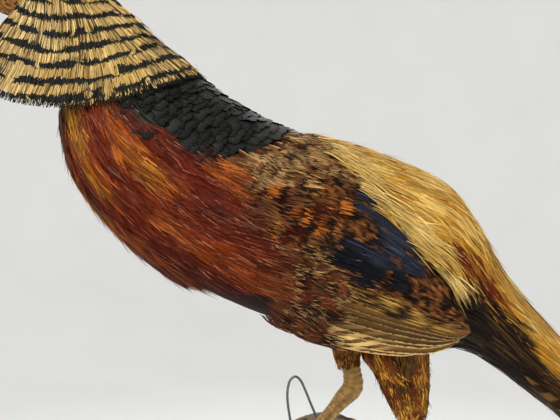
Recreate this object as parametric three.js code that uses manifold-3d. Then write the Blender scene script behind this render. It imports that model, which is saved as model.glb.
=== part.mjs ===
// Golden pheasant cock, a taxidermy mount on a branch stub that stands out from an oval slice of wood.
// Millimetres. +Z is up, +X runs towards the tail and -Y out from the wall.
// The origin is the centre of the slice's back face, on the wall.
import * as THREE from "three";
import { mergeVertices } from "three/addons/utils/BufferGeometryUtils.js";
import Module from "manifold-3d";

const wasm = await Module();
wasm.setup();

const rad = THREE.MathUtils.degToRad;

// ---------------------------------------------------------------- driving dimensions
const GAP = 0.35; // clearance between neighbouring pieces
const MID_Y = -97; // the bird's own mid-plane, in front of the wall
const NEAR = -1; // the bird's left side, away from the wall
const FAR = 1; // the bird's right side, towards the wall

const SLICE_HALF_WIDTH = 70;
const SLICE_HALF_HEIGHT = 100;
const SLICE_THICKNESS = 24;
const BARK = 3.5;

const BRANCH_RADIUS = 17;
const TARSUS_RADIUS = 3.9;
const HOCK_RADIUS = 6.2;
const TOE_RADIUS = 3.1;
const SPUR_PLACE = 52; // below the hock
const EYE_RADIUS = 5.1;
const WIRE_RADIUS = 0.9;

const TAIL_SLOPE = rad(41.5); // below the horizontal, at the tail's root
const TAIL_DROOP = rad(6); // added over the whole length
const TAIL_LENGTH = 690; // the middle pair, from the root
const TAIL_ROOT = { x: 86, z: 196 };

// Sections of head, neck, trunk and rump, from the bill to the root of the tail. Each is a plane across the bird:
// the point on its back line, the point on its throat and belly line, half its width, and how much wider it is below.
const SECTIONS = [
  { at: "bill_root", back: [-224, 390], belly: [-224, 379.5], half: 5.2, low: 0 },
  { at: "forehead", back: [-220, 396.5], belly: [-220.5, 375], half: 8.6, low: 0 },
  { at: "eye", back: [-211, 402.5], belly: [-213.5, 370], half: 12.2, low: 0 },
  { at: "crown", back: [-200, 404.5], belly: [-205, 366.5], half: 14.5, low: 0 },
  { at: "hind_crown", back: [-187, 402], belly: [-197, 363.5], half: 15.6, low: 0 },
  { at: "nape", back: [-173, 394.5], belly: [-189.5, 359.5], half: 16, low: 0 },
  { at: "upper_neck", back: [-156, 382], belly: [-180.5, 352.5], half: 17.5, low: 0 },
  { at: "mid_neck", back: [-139, 368.5], belly: [-172, 339], half: 21, low: 0 },
  { at: "lower_neck", back: [-122, 354], belly: [-165.5, 324], half: 26, low: 0.03 },
  { at: "neck_root", back: [-104, 341], belly: [-162, 309], half: 32, low: 0.06 },
  { at: "upper_breast", back: [-84, 327], belly: [-160.5, 289], half: 39, low: 0.08 },
  { at: "breast", back: [-63, 312], belly: [-152, 263], half: 44, low: 0.1 },
  { at: "shoulder", back: [-42, 300], belly: [-130, 235], half: 47, low: 0.1 },
  { at: "fore_belly", back: [-20, 292], belly: [-101, 210.5], half: 49, low: 0.1 },
  { at: "belly", back: [3, 286.5], belly: [-69, 192.5], half: 50, low: 0.08 },
  { at: "flank", back: [26, 279], belly: [-33, 178.5], half: 48, low: 0.05 },
  { at: "hip", back: [47, 270], belly: [5, 168], half: 44, low: 0.02 },
  { at: "vent", back: [64, 259.5], belly: [37, 166.5], half: 39.5, low: 0 },
  { at: "rump", back: [80, 240], belly: [56, 166.5], half: 34, low: 0 },
  { at: "lower_rump", back: [94, 214], belly: [70, 166.5], half: 29, low: 0 },
  { at: "tail_root", back: [106.5, 193.5], belly: [81, 164.5], half: 25, low: 0 },
];

// ---------------------------------------------------------------- tools
const mix = (a, b, t) => a + (b - a) * t;

// A Catmull-Rom value at place t along a list of numbers, with a step of 1 from one number to the next.
function along(list, t) {
  const last = list.length - 1;
  const i = Math.min(Math.max(Math.floor(t), 0), last - 1);
  const f = t - i;
  const [a, b, c, d] = [-1, 0, 1, 2].map((k) => list[Math.min(Math.max(i + k, 0), last)]);
  return 0.5 * (2 * b + (c - a) * f + (2 * a - 5 * b + 4 * c - d) * f * f + (3 * b - 3 * c + d - a) * f * f * f);
}

const station = (name) => SECTIONS.findIndex((s) => s.at === name);

// The closed surface through rings of equal length. Each end gets a flat fan, or, where the rings run out
// along one face of a sheet and back along the other, a strip from face to face.
function loft(rings, folded = false) {
  const n = rings[0].length;
  const position = [];
  const index = [];
  const put = (p) => position.push(p.x, p.y, p.z) / 3 - 1;
  const rows = rings.map((ring) => ring.map(put));
  for (let r = 0; r + 1 < rows.length; r++)
    for (let i = 0; i < n; i++) {
      const j = (i + 1) % n;
      index.push(rows[r][i], rows[r][j], rows[r + 1][j], rows[r][i], rows[r + 1][j], rows[r + 1][i]);
    }
  const fan = (row, ring) => {
    const middle = put(ring.reduce((sum, p) => sum.add(p), new THREE.Vector3()).divideScalar(n));
    return row.map((corner, i) => [middle, corner, row[(i + 1) % n]]);
  };
  const strip = (row) =>
    row.slice(0, n / 2 - 1).flatMap((corner, i) => [
      [corner, row[i + 1], row[n - 2 - i]],
      [corner, row[n - 2 - i], row[n - 1 - i]],
    ]);
  const cap = folded ? strip : fan;
  for (const [a, b, c] of cap(rows[0], rings[0])) index.push(a, c, b);
  for (const triangle of cap(rows[rows.length - 1], rings[rings.length - 1])) index.push(...triangle);
  return new THREE.BufferGeometry()
    .setAttribute("position", new THREE.Float32BufferAttribute(position, 3))
    .setIndex(index);
}

// A three.js geometry as a manifold solid that faces out.
function solid(geometry) {
  const bare = new THREE.BufferGeometry().setAttribute("position", geometry.getAttribute("position"));
  if (geometry.index) bare.setIndex(geometry.index);
  const merged = mergeVertices(bare, 1e-4);
  const vertProperties = new Float32Array(merged.attributes.position.array);
  const triVerts = new Uint32Array(merged.index.array);
  const turn = () => {
    for (let i = 0; i < triVerts.length; i += 3) [triVerts[i + 1], triVerts[i + 2]] = [triVerts[i + 2], triVerts[i + 1]];
  };
  let made = new wasm.Manifold(new wasm.Mesh({ numProp: 3, vertProperties, triVerts }));
  if (made.volume() < 0) {
    turn();
    made = new wasm.Manifold(new wasm.Mesh({ numProp: 3, vertProperties, triVerts }));
  }
  return made;
}

// The largest body of a solid, so that slivers left by a cut are dropped.
function largest(s) {
  return s.decompose().reduce((a, b) => (b.volume() > a.volume() ? b : a));
}

function geometryOf(s) {
  const m = s.getMesh();
  const v = new Float32Array(m.numVert * 3);
  for (let i = 0; i < m.numVert; i++) v.set(m.vertProperties.subarray(i * m.numProp, i * m.numProp + 3), i * 3);
  const g = new THREE.BufferGeometry()
    .setAttribute("position", new THREE.BufferAttribute(v, 3))
    .setIndex(new THREE.BufferAttribute(m.triVerts, 1));
  g.computeVertexNormals();
  return g;
}

// A tube of changing radius round a curve. flat squeezes it across the bird, tip closes it to a point.
function tube(points, radius, { steps = 10, sides = 8, flat = 1, side = new THREE.Vector3(0, 1, 0) } = {}) {
  const curve = new THREE.CatmullRomCurve3(points.map((p) => new THREE.Vector3(...p)));
  const rings = [];
  for (let k = 0; k <= steps; k++) {
    const t = k / steps;
    const at = curve.getPoint(t);
    const forward = curve.getTangent(t);
    const up = new THREE.Vector3().crossVectors(forward, side).normalize();
    const across = new THREE.Vector3().crossVectors(up, forward).normalize();
    const r = radius(t);
    rings.push(
      Array.from({ length: sides }, (_, i) => {
        const a = (2 * Math.PI * i) / sides;
        return at.clone().addScaledVector(up, r * Math.cos(a)).addScaledVector(across, r * flat * Math.sin(a));
      }),
    );
  }
  return loft(rings);
}

// A closed sheet: the surface at(u, v), thick(u, v) through, and larger by grow on every side.
function sheet(at, thick, nu, nv, grow = 0) {
  const e = 1e-3;
  const edge = (i, n) => (i === 0 ? -grow : i === n ? grow : 0);
  const grid = (side) =>
    Array.from({ length: nu + 1 }, (_, i) =>
      Array.from({ length: nv + 1 }, (_, j) => {
        const u = i / nu;
        const v = j / nv;
        const du = at(Math.min(u + e, 1), v).sub(at(Math.max(u - e, 0), v)).normalize();
        const dv = at(u, Math.min(v + e, 1)).sub(at(u, Math.max(v - e, 0))).normalize();
        const normal = new THREE.Vector3().crossVectors(du, dv).normalize();
        return at(u, v)
          .addScaledVector(normal, side * (thick(u, v) / 2 + grow))
          .addScaledVector(du, edge(i, nu))
          .addScaledVector(dv, edge(j, nv));
      }),
    );
  const upper = grid(1);
  const lower = grid(-1);
  // Each row of the sheet is one ring: out along its upper face and back along its lower face.
  return loft(upper.map((row, i) => [...row, ...[...lower[i]].reverse()]), true);
}

const group = new THREE.Group();
function piece(name, made, color, roughness = 0.8, metalness = 0) {
  const geometry = geometryOf(largest(made instanceof THREE.BufferGeometry ? solid(made) : made));
  const mesh = new THREE.Mesh(geometry, new THREE.MeshStandardMaterial({ color, roughness, metalness }));
  mesh.name = name;
  group.add(mesh);
}

// ---------------------------------------------------------------- head, neck and trunk
const AROUND = 20;
const RING_STEP = 0.5;
// The body at place t along SECTIONS, grown by grow: its centre, the way up to its back, and its half width.
function bodySection(t, grow) {
  const value = (pick) => along(SECTIONS.map(pick), t);
  const back = new THREE.Vector3(value((s) => s.back[0]), MID_Y, value((s) => s.back[1]));
  const belly = new THREE.Vector3(value((s) => s.belly[0]), MID_Y, value((s) => s.belly[1]));
  const centre = back.clone().add(belly).multiplyScalar(0.5);
  const up = back.clone().sub(centre);
  up.setLength(up.length() + grow);
  return { centre, up, half: value((s) => s.half) + grow, low: value((s) => s.low) };
}
function bodyRing(t, grow) {
  const { centre, up, half, low } = bodySection(t, grow);
  return Array.from({ length: AROUND }, (_, i) => {
    const a = (2 * Math.PI * i) / AROUND;
    const p = centre.clone().addScaledVector(up, Math.sin(a));
    p.y += half * Math.cos(a) * (1 - low * Math.sin(a));
    return p;
  });
}
// The body from one place to another, with rings at the same places whichever length of it is made.
function body(from, to, grow = 0) {
  const places = [from];
  for (let t = RING_STEP * Math.floor(from / RING_STEP + 1.1); t < to - 0.1; t += RING_STEP) places.push(t);
  return loft([...places, to].map((t) => bodyRing(t, grow)));
}
// Half the width of the body at (x, z) in its own plane, grown by grow; 0 outside its outline.
function bodyHalf(x, z, grow) {
  let widest = 0;
  const sectionOffset = ({ centre, up }) => up.x * (z - centre.z) - up.z * (x - centre.x);
  for (let t = 0; t < BODY_END; t += RING_STEP) {
    const a = sectionOffset(bodySection(t, grow));
    const b = sectionOffset(bodySection(t + RING_STEP, grow));
    if (a * b > 0) continue;
    const { centre, up, half, low } = bodySection(t + (RING_STEP * a) / (a - b), grow);
    const s = (up.x * (x - centre.x) + up.z * (z - centre.z)) / up.lengthSq();
    if (Math.abs(s) < 1) widest = Math.max(widest, half * Math.sqrt(1 - s * s) * (1 - low * s));
  }
  return widest;
}

const THIN_CUT = 0.02; // of the way from one section to the next, about 0.4 mm
const NAPE = station("nape");
const NECK_ROOT = station("neck_root") + 0.5;
const RUMP = station("vent") + 0.5;
const BODY_END = station("tail_root");

const bodyCutter = solid(body(0, BODY_END, GAP));
const head = solid(body(0, NAPE - THIN_CUT));
const neck = body(NAPE + THIN_CUT, NECK_ROOT - THIN_CUT);
const trunk = body(NECK_ROOT + THIN_CUT, RUMP - THIN_CUT);
const rump = solid(body(RUMP + THIN_CUT, BODY_END));

// ---------------------------------------------------------------- eyes and bill
const EYE = { x: -208.5, z: 390.5, out: 10 };
const eyeBall = (side, radius) =>
  new THREE.SphereGeometry(radius, 11, 6).translate(EYE.x, MID_Y + side * EYE.out, EYE.z);
let socketed = head;
for (const side of [NEAR, FAR]) socketed = socketed.subtract(solid(eyeBall(side, EYE_RADIUS + GAP)));

const BILL = { rootX: -224.4, length: 24, z: 385, depth: 6.4, half: 5, drop: 4.4 };
// Half the bill, as rings from its root to its hooked tip. above is 1 for the upper half and -1 for the lower.
function billHalf(above, length, depth) {
  const steps = 6;
  const rings = [];
  for (let k = 0; k <= steps; k++) {
    const t = k / steps;
    const thin = Math.sqrt(1 - 0.97 * t * t);
    const x = BILL.rootX - length * t;
    const z = BILL.z - BILL.drop * ((length * t) / BILL.length) ** 2 + (above * GAP) / 2;
    const ring = [];
    for (let i = 0; i <= 6; i++) {
      const a = (Math.PI * i) / 6;
      const y = BILL.half * thin * (1 - 0.35 * t) * Math.cos(a);
      ring.push(new THREE.Vector3(x, MID_Y + y, z + above * depth * thin * Math.sin(a)));
    }
    ring.push(new THREE.Vector3(x, MID_Y, z));
    rings.push(ring);
  }
  return loft(rings);
}

// ---------------------------------------------------------------- cape
// The cape spreads like a fan round a point behind the head. Its feathers lie on the neck, and those of the
// nearer side are swung open, past the throat.
const CAPE = {
  x: -175,
  z: 411,
  nape: rad(41.8),
  open: rad(106),
  shut: rad(84),
  swing: rad(26), // how far the front edge is drawn back at its root
  wrap: rad(26),
  root: 31,
  napeLength: 130,
  frontLength: 98,
  ridgeShare: 0.6, // of the sheet's breadth that lies on the nearer side
  clear: 3.2, // above the neck
};
function capePoint(u, v) {
  const side = u < CAPE.ridgeShare ? NEAR : FAR;
  const share = side === NEAR ? 1 - u / CAPE.ridgeShare : (u - CAPE.ridgeShare) / (1 - CAPE.ridgeShare);
  const front = side === NEAR ? CAPE.open - CAPE.swing * (1 - v) : CAPE.shut;
  const angle = mix(CAPE.nape, front, share);
  const reach = mix(CAPE.napeLength, CAPE.frontLength, 1 - (1 - share) ** 1.2);
  const r = mix(CAPE.root, reach, v);
  const x = CAPE.x + r * Math.cos(angle);
  const z = CAPE.z - r * Math.sin(angle);
  const wrapped = Math.sin((Math.min(1, (angle - CAPE.nape) / CAPE.wrap) * Math.PI) / 2);
  const half = mix(15, side === NEAR ? 41 : 30, v ** 1.3) * wrapped;
  return new THREE.Vector3(x, MID_Y + side * Math.max(half, bodyHalf(x, z, CAPE.clear)), z);
}
const capeThick = (u, v) => mix(5, 1.6, v) * mix(0.4, 1, Math.min(1, 8 * Math.min(u, 1 - u), 5 * v));
const capeSheet = (grow) => solid(sheet(capePoint, capeThick, 18, 5, grow));
const cape = capeSheet(0).subtract(bodyCutter);

// ---------------------------------------------------------------- crest
const CREST = { length: 74, half: 15, thick: 8 };
function crestLoft(grow) {
  const path = new THREE.CatmullRomCurve3(
    [[-222, 394], [-214, 404], [-200, 408], [-184, 405], [-168, 396], [-154, 386]].map(
      ([x, z]) => new THREE.Vector3(x, MID_Y, z),
    ),
  );
  const steps = 9;
  const rings = [];
  for (let k = 0; k <= steps; k++) {
    const t = k / steps;
    const swell = Math.sqrt(Math.sin(Math.PI * mix(0.06, 0.97, t)));
    const at = path.getPointAt(t);
    const forward = path.getTangentAt(t);
    const up = new THREE.Vector3(-forward.z, 0, forward.x);
    rings.push(
      Array.from({ length: 10 }, (_, i) => {
        const a = (2 * Math.PI * i) / 10;
        const p = at.clone().addScaledVector(up, ((CREST.thick / 2) * swell + grow) * Math.sin(a));
        p.y += (CREST.half * swell + grow) * Math.cos(a);
        // The crest is laid over the round of the crown.
        p.addScaledVector(up, -0.035 * (p.y - MID_Y) ** 2);
        return p;
      }),
    );
  }
  return solid(loft(rings));
}
const crest = crestLoft(0).subtract(bodyCutter).subtract(capeSheet(GAP));

// ---------------------------------------------------------------- wings
// A folded wing is a long leaf, from the wrist at u = 0 to the tip at u = 1, and from its lower edge at v = 0.
const WING_LOWER = { x: [-94, -78, -56, -30, 0, 30, 56, 66], z: [240, 220, 201, 185, 176, 172, 173, 181] };
const WING_UPPER = { x: [-94, -78, -52, -22, 8, 36, 58, 66], z: [248, 268, 278, 272, 256, 232, 206, 187] };
const WING_OUT = [44, 50, 54, 56, 56, 51, 43, 39];
function wingPoint(side, depth, grow) {
  return (u, v) => {
    const t = u * (WING_OUT.length - 1);
    const w = 0.5 + (v - 0.5) * (1 + grow / 30);
    const x = mix(along(WING_LOWER.x, t), along(WING_UPPER.x, t), w);
    const z = mix(along(WING_LOWER.z, t), along(WING_UPPER.z, t), w);
    const bow = 11 * Math.max(0, 2 * v - 1) ** 2 + 5 * Math.max(0, 1 - 2 * v) ** 2;
    return new THREE.Vector3(x, MID_Y + side * (along(WING_OUT, t) - bow - depth), z);
  };
}
function wing(side, grow) {
  const rings = [];
  const across = 5;
  const steps = 11;
  for (let k = 0; k <= steps; k++) {
    const u = mix(0.01, 0.99, k / steps);
    const depth = mix(13, 5, u);
    const outer = wingPoint(side, -grow, grow);
    const inner = wingPoint(side, depth + grow, grow);
    const row = (f) => Array.from({ length: across + 1 }, (_, j) => f(u, j / across));
    rings.push([...row(outer), ...row(inner).reverse()]);
  }
  return solid(loft(rings));
}
// The half space on one side of an upright plane through a and b in the bird's own plane.
function sideOf(shape, a, b, keep, gap) {
  const normal = [-(b[1] - a[1]) * keep, 0, (b[0] - a[0]) * keep];
  const size = Math.hypot(...normal);
  return shape.trimByPlane(normal.map((n) => n / size), (normal[0] * a[0] + normal[2] * a[1]) / size + gap);
}
const PRIMARY_CUT = [[-60, 190], [66, 194]];
const COVERT_CUT = [[-38, 150], [10, 300]];

// ---------------------------------------------------------------- tail
// A place on the tail: along its droop by t, across it by y and above its own line by n.
function tailPlace(t, y, n) {
  const steps = 24;
  let x = TAIL_ROOT.x;
  let z = TAIL_ROOT.z;
  const slope = (s) => TAIL_SLOPE + TAIL_DROOP * s;
  for (let k = 0; k < steps; k++) {
    const a = slope((t * (k + 0.5)) / steps);
    x += (TAIL_LENGTH * t * Math.cos(a)) / steps;
    z -= (TAIL_LENGTH * t * Math.sin(a)) / steps;
  }
  const a = slope(t);
  return new THREE.Vector3(x + n * Math.sin(a), MID_Y + y, z + n * Math.cos(a));
}
const taper = (t, blunt) => Math.max(0.04, (1 - t ** blunt) ** 0.8);
// The middle pair: a roof over the rest, highest along its ridge.
const roof = (grow) =>
  solid(
    sheet(
      (u, v) => {
        const t = mix(0.03, 1, u);
        const half = mix(24, 17, t) * taper(t, 3.2);
        const y = mix(-half, half, v);
        return tailPlace(t, y, 5 - 13 * (y / 24) ** 2);
      },
      (u) => mix(2.6, 1.2, u),
      18,
      4,
      grow,
    ),
  );
// One side's shorter feathers, nested under the roof and edge down.
const sideBlade = (side, grow) =>
  solid(
    sheet(
      (u, v) => {
        const t = mix(0.03, 0.74, u);
        const s = taper(u, 2) * Math.min(1, 0.4 + 7 * u);
        const y = side * mix(3, mix(20, 12, u), v);
        return tailPlace(t, y, -4.5 - 18.5 * s * v ** 1.2 - 4 * u);
      },
      (u) => mix(6, 1.6, u),
      12,
      3,
      grow,
    ),
  );
// Plumes that clothe the root of the tail above and below.
function covertPlumes() {
  const rings = [];
  const steps = 7;
  const around = 12;
  for (let k = 0; k <= steps; k++) {
    const u = k / steps;
    const swell = mix(1, 0.35, u) * (1 - 0.6 * u ** 4);
    const middle = mix(-8, -2, u);
    rings.push(
      Array.from({ length: around }, (_, i) => {
        const a = (2 * Math.PI * i) / around;
        return tailPlace(mix(0.027, 0.29, u), 26 * swell * Math.cos(a), middle + 19.3 * swell * Math.sin(a));
      }),
    );
  }
  return solid(loft(rings));
}

// ---------------------------------------------------------------- legs
// Each thigh's sleeve of feathers has places x, z and a radius r down to where the bare leg shows.
const LEGS = {
  left: {
    side: NEAR,
    y: -119,
    sleeve: [[27, 178, 20], [31.5, 164, 15.5], [34.5, 151, 12.5], [37, 139, 9.4], [38.6, 131, 6.6]],
    bare: [[38.6, 133]],
    hock: [37.8, 126.5],
    foot: [-23.5, 78.5],
  },
  right: {
    side: FAR,
    y: -75,
    sleeve: [[14, 180, 15], [9, 170, 11], [6.5, 160, 7.4]],
    bare: [[6.5, 162], [9.5, 149]],
    hock: [9.9, 138],
    foot: [-41, 78.5],
  },
};
const at = (leg, [x, z]) => [x, leg.y, z];
const thigh = (leg, grow = 0) =>
  tube(
    leg.sleeve.map((place) => at(leg, place)),
    (t) => along(leg.sleeve.map((place) => place[2]), t * (leg.sleeve.length - 1)) + grow,
    { steps: 6, sides: 12, flat: 0.8 },
  );
// A point on the shank's line, mm below the hock.
function shankPoint(leg, mm) {
  const [hx, hz] = leg.hock;
  const [fx, fz] = leg.foot;
  const t = mm / Math.hypot(fx - hx, fz - hz);
  return at(leg, [mix(hx, fx, t), mix(hz, fz, t)]);
}
const SHANK_LENGTH = Math.hypot(LEGS.left.hock[0] - LEGS.left.foot[0], LEGS.left.hock[1] - LEGS.left.foot[1]);
function shank(leg, grow = 0) {
  const bare = leg.bare.map((place) => at(leg, place));
  const below = [0, 9, 18, 34, 58, SHANK_LENGTH - 5, SHANK_LENGTH].map((mm) => shankPoint(leg, mm));
  const radii = [
    ...bare.map(() => HOCK_RADIUS - 0.7),
    ...[HOCK_RADIUS, HOCK_RADIUS - 0.8, TARSUS_RADIUS + 0.4, TARSUS_RADIUS, TARSUS_RADIUS, 4.9, 4.4],
  ];
  return tube([...bare, ...below], (t) => along(radii, t * (radii.length - 1)) + grow, {
    steps: 10,
    sides: 8,
    flat: 0.85,
  });
}
// A cock's spur, on the inner rear of the shank.
function spur(leg) {
  const [x, y, z] = shankPoint(leg, SPUR_PLACE);
  const inward = -leg.side;
  const root = [x + 2.6, y + 2.4 * inward, z - 2];
  const tip = [x + 9, y + 4.6 * inward, z - 4.5];
  return tube([root, tip], (t) => mix(2.3, 0.3, t), { steps: 3, sides: 7 });
}

// The branch bends out of the slice and lies under both feet.
const BRANCH_PATH = [
  [-16, -8, 43],
  [-32, -46, 55],
  [LEGS.right.foot[0] - 1, LEGS.right.y, 57.5],
  [-33, -97, 58],
  [LEGS.left.foot[0] - 1, LEGS.left.y, 57.5],
  [-12, -144, 56],
  [-3, -163, 53],
];
const branchCurve = new THREE.CatmullRomCurve3(BRANCH_PATH.map((p) => new THREE.Vector3(...p)));
const branch = (grow = 0) =>
  tube(BRANCH_PATH, (t) => BRANCH_RADIUS * (1 + 0.05 * Math.sin(9 * t) + 0.12 * (1 - t) ** 12) + grow, {
    steps: 16,
    sides: 12,
    side: new THREE.Vector3(0, 0, 1),
  });
// The branch ends flat against the slice's face.
const OUTWARD = [0, -1, 0];

// A toe grips the branch: it is bent round it from the top, by an angle, and drifts along it.
const TOES = [
  { name: "inner", length: 33, drift: 0.34, start: 8, joints: 3 },
  { name: "middle", length: 47, drift: 0.02, start: 8, joints: 4 },
  { name: "outer", length: 36, drift: -0.34, start: 8, joints: 3 },
  { name: "hind", length: 15, drift: 0.16, start: -7, joints: 2 },
];
const CLAW = 11;
function branchFrame(leg) {
  const near = [...Array(201).keys()]
    .map((k) => k / 200)
    .reduce((a, b) => (Math.abs(branchCurve.getPoint(b).y - leg.y) < Math.abs(branchCurve.getPoint(a).y - leg.y) ? b : a));
  const centre = branchCurve.getPoint(near);
  const axis = branchCurve.getTangent(near);
  const up = new THREE.Vector3(0, 0, 1);
  return { centre, axis, ahead: new THREE.Vector3().crossVectors(axis, up).normalize(), up };
}
// The place on a toe mm along it, with lift above the branch's bark.
function toePlace(leg, toe, mm, lift) {
  const { centre, axis, ahead, up } = branchFrame(leg);
  const r = BRANCH_RADIUS * 1.065 + lift;
  const sign = Math.sign(toe.start);
  const bend = (sign * (Math.abs(toe.start) + mm)) / (BRANCH_RADIUS + TOE_RADIUS);
  const level = Math.min(1, Math.abs(bend) / 0.5);
  return centre
    .clone()
    .addScaledVector(axis, toe.drift * mm * level * leg.side)
    .addScaledVector(up, r * Math.cos(bend))
    .addScaledVector(ahead, r * Math.sin(bend));
}
const TOE_SIDE = new THREE.Vector3(0.45, -0.9, 0.1);
function toe(leg, kind) {
  const stops = 6;
  const points = Array.from({ length: stops + 1 }, (_, k) => {
    const mm = mix(-4, kind.length, k / stops);
    return toePlace(leg, kind, mm, TOE_RADIUS + GAP).toArray();
  });
  const knuckle = (t) => 1 + 0.1 * Math.cos(2 * Math.PI * kind.joints * t);
  return tube(points, (t) => mix(TOE_RADIUS, 2.1, t) * knuckle(t), { steps: 6, sides: 6, side: TOE_SIDE });
}
const foot = (leg) =>
  TOES.map((kind) => solid(toe(leg, kind)))
    .reduce((whole, part) => whole.add(part))
    .subtract(solid(shank(leg, GAP)))
    .subtract(solid(branch(GAP)));
function claw(leg, kind) {
  const points = [0.9, 4, 8, CLAW].map((mm) =>
    toePlace(leg, kind, kind.length + mm, TOE_RADIUS + GAP - 0.10 * mm).toArray(),
  );
  return solid(tube(points, (t) => mix(1.9, 0.3, t), { steps: 3, sides: 5, side: TOE_SIDE })).subtract(
    solid(branch(GAP)),
  );
}

// ---------------------------------------------------------------- the slice and its wire
function ovalShape(inset) {
  const points = [];
  const corners = 28;
  for (let k = 0; k < corners; k++) {
    const a = (2 * Math.PI * k) / corners;
    const wave = 1 + 0.012 * Math.sin(3 * a + 0.8) + 0.008 * Math.sin(5 * a);
    points.push(
      new THREE.Vector2(
        (SLICE_HALF_WIDTH - inset) * wave * Math.cos(a),
        (SLICE_HALF_HEIGHT - inset) * wave * Math.sin(a),
      ),
    );
  }
  return new THREE.Shape(points);
}
// Stands the outline upright on the wall, thick towards -Y.
function slab(shape) {
  return new THREE.ExtrudeGeometry(shape, { depth: SLICE_THICKNESS, bevelEnabled: false }).rotateX(Math.PI / 2);
}
const barkShape = ovalShape(0);
barkShape.holes.push(new THREE.Path(ovalShape(BARK).getPoints().reverse()));

const WIRE_Y = -SLICE_THICKNESS / 2;
const WIRE_PATH = [
  [-26, WIRE_Y, 84],
  [-27.5, WIRE_Y, 96],
  [-29.5, WIRE_Y, 110],
  [-29.5, WIRE_Y, 119],
  [-27.5, WIRE_Y, 126],
  [-24, WIRE_Y, 128.5],
  [-20.5, WIRE_Y, 126],
  [-17, WIRE_Y, 119],
  [-12.5, WIRE_Y, 108],
  [-7.5, WIRE_Y, 97],
  [-1, WIRE_Y, 85],
];
const wireCurve = new THREE.CatmullRomCurve3(WIRE_PATH.map((p) => new THREE.Vector3(...p)));
function wire(grow) {
  const round = new THREE.Shape().absarc(0, 0, WIRE_RADIUS + grow, 0, 2 * Math.PI);
  return new THREE.ExtrudeGeometry(round, { steps: 20, curveSegments: 3, extrudePath: wireCurve });
}
const wireHole = solid(wire(GAP));

// ---------------------------------------------------------------- assembly
const FEATHER = { straw: 0xb28a45, rust: 0x7a2c10, green: 0x1e2a26, gold: 0xb98a2e, brown: 0x4a3018, blue: 0x1d2740 };
const SKIN = 0x8a6420;
const HORN = 0x6d5a34;

piece("head", socketed, FEATHER.gold);
piece("neck", neck, FEATHER.straw);
piece("trunk", trunk, FEATHER.rust);
piece("eye_left", eyeBall(NEAR, EYE_RADIUS), 0x2a1a08, 0.1);
piece("eye_right", eyeBall(FAR, EYE_RADIUS), 0x2a1a08, 0.1);
piece("bill_upper", billHalf(1, BILL.length, BILL.depth), HORN, 0.4);
piece("bill_lower", billHalf(-1, BILL.length - 3, 3.6), HORN, 0.4);
piece("crest", crest, FEATHER.gold);
piece("cape", cape, FEATHER.straw);

const plumes = covertPlumes()
  .subtract(bodyCutter)
  .subtract(roof(GAP))
  .subtract(sideBlade(NEAR, GAP))
  .subtract(sideBlade(FAR, GAP));
const blades = [NEAR, FAR].map((side) => sideBlade(side, 0).subtract(roof(GAP)).subtract(bodyCutter));
piece("rump", rump, FEATHER.gold);
piece("tail_coverts", plumes, FEATHER.gold);
piece("tail_middle", roof(0).subtract(bodyCutter), FEATHER.brown);
piece("tail_side_left", blades[0], FEATHER.brown);
piece("tail_side_right", blades[1].subtract(sideBlade(NEAR, GAP)), FEATHER.brown);

for (const [name, leg] of Object.entries(LEGS)) {
  const whole = wing(leg.side, 0).subtract(bodyCutter);
  const rear = sideOf(whole, ...COVERT_CUT, -1, GAP / 2);
  piece(`wing_${name}_coverts`, sideOf(whole, ...COVERT_CUT, 1, GAP / 2), FEATHER.brown);
  piece(`wing_${name}_secondaries`, sideOf(rear, ...PRIMARY_CUT, 1, GAP / 2), FEATHER.blue);
  piece(`wing_${name}_primaries`, sideOf(rear, ...PRIMARY_CUT, -1, GAP / 2), FEATHER.brown);

  piece(`thigh_${name}`, solid(thigh(leg)).subtract(bodyCutter).subtract(wing(leg.side, GAP)), FEATHER.brown);
  piece(`shank_${name}`, solid(shank(leg)).subtract(solid(thigh(leg, GAP))).subtract(solid(branch(GAP))), SKIN, 0.5);
  piece(`spur_${name}`, solid(spur(leg)).subtract(solid(shank(leg, GAP))), HORN, 0.4);
  piece(`foot_${name}`, foot(leg), SKIN, 0.5);
  for (const kind of TOES) piece(`claw_${name}_${kind.name}`, claw(leg, kind), HORN, 0.4);
}

piece("plaque_wood", solid(slab(ovalShape(BARK + GAP))).subtract(wireHole), 0xb08a60);
piece("plaque_bark", solid(slab(barkShape)).subtract(wireHole), 0x8a7a66);
piece("branch", solid(branch()).trimByPlane(OUTWARD, SLICE_THICKNESS + GAP), 0x5a4532);
piece("hanger_wire", wire(0), 0x6f736c, 0.4, 0.9);

export default group;
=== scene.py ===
"""The looks of a mounted golden pheasant cock: its skin and feathers, bill, eyes, legs, branch and slice of wood.

Shapes are worked out in millimetres in the part's own frame (+Z up, +X to the tail, -Y out from the wall) and
are turned to metres when a mesh is made. Every feather is a vane or a strand of real mesh laid over a chart,
which is a surface kept as a grid of points.
"""

import functools

import bpy
import numpy as np
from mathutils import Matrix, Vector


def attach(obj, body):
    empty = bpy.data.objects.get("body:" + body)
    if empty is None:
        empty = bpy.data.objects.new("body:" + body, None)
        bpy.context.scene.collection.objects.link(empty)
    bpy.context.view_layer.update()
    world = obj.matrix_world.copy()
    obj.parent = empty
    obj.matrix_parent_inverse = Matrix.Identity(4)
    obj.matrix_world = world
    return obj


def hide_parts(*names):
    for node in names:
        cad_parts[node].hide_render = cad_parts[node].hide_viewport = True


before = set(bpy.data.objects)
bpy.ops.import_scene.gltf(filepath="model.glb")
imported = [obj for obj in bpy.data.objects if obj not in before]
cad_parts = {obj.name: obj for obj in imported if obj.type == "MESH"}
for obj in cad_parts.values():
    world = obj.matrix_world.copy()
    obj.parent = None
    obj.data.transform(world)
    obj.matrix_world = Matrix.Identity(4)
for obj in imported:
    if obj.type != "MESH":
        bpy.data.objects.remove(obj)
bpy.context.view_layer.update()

MID = -97.0  # the bird's own mid-plane
NEAR, FAR = -1, 1  # its left side, away from the wall, and its right side
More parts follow.
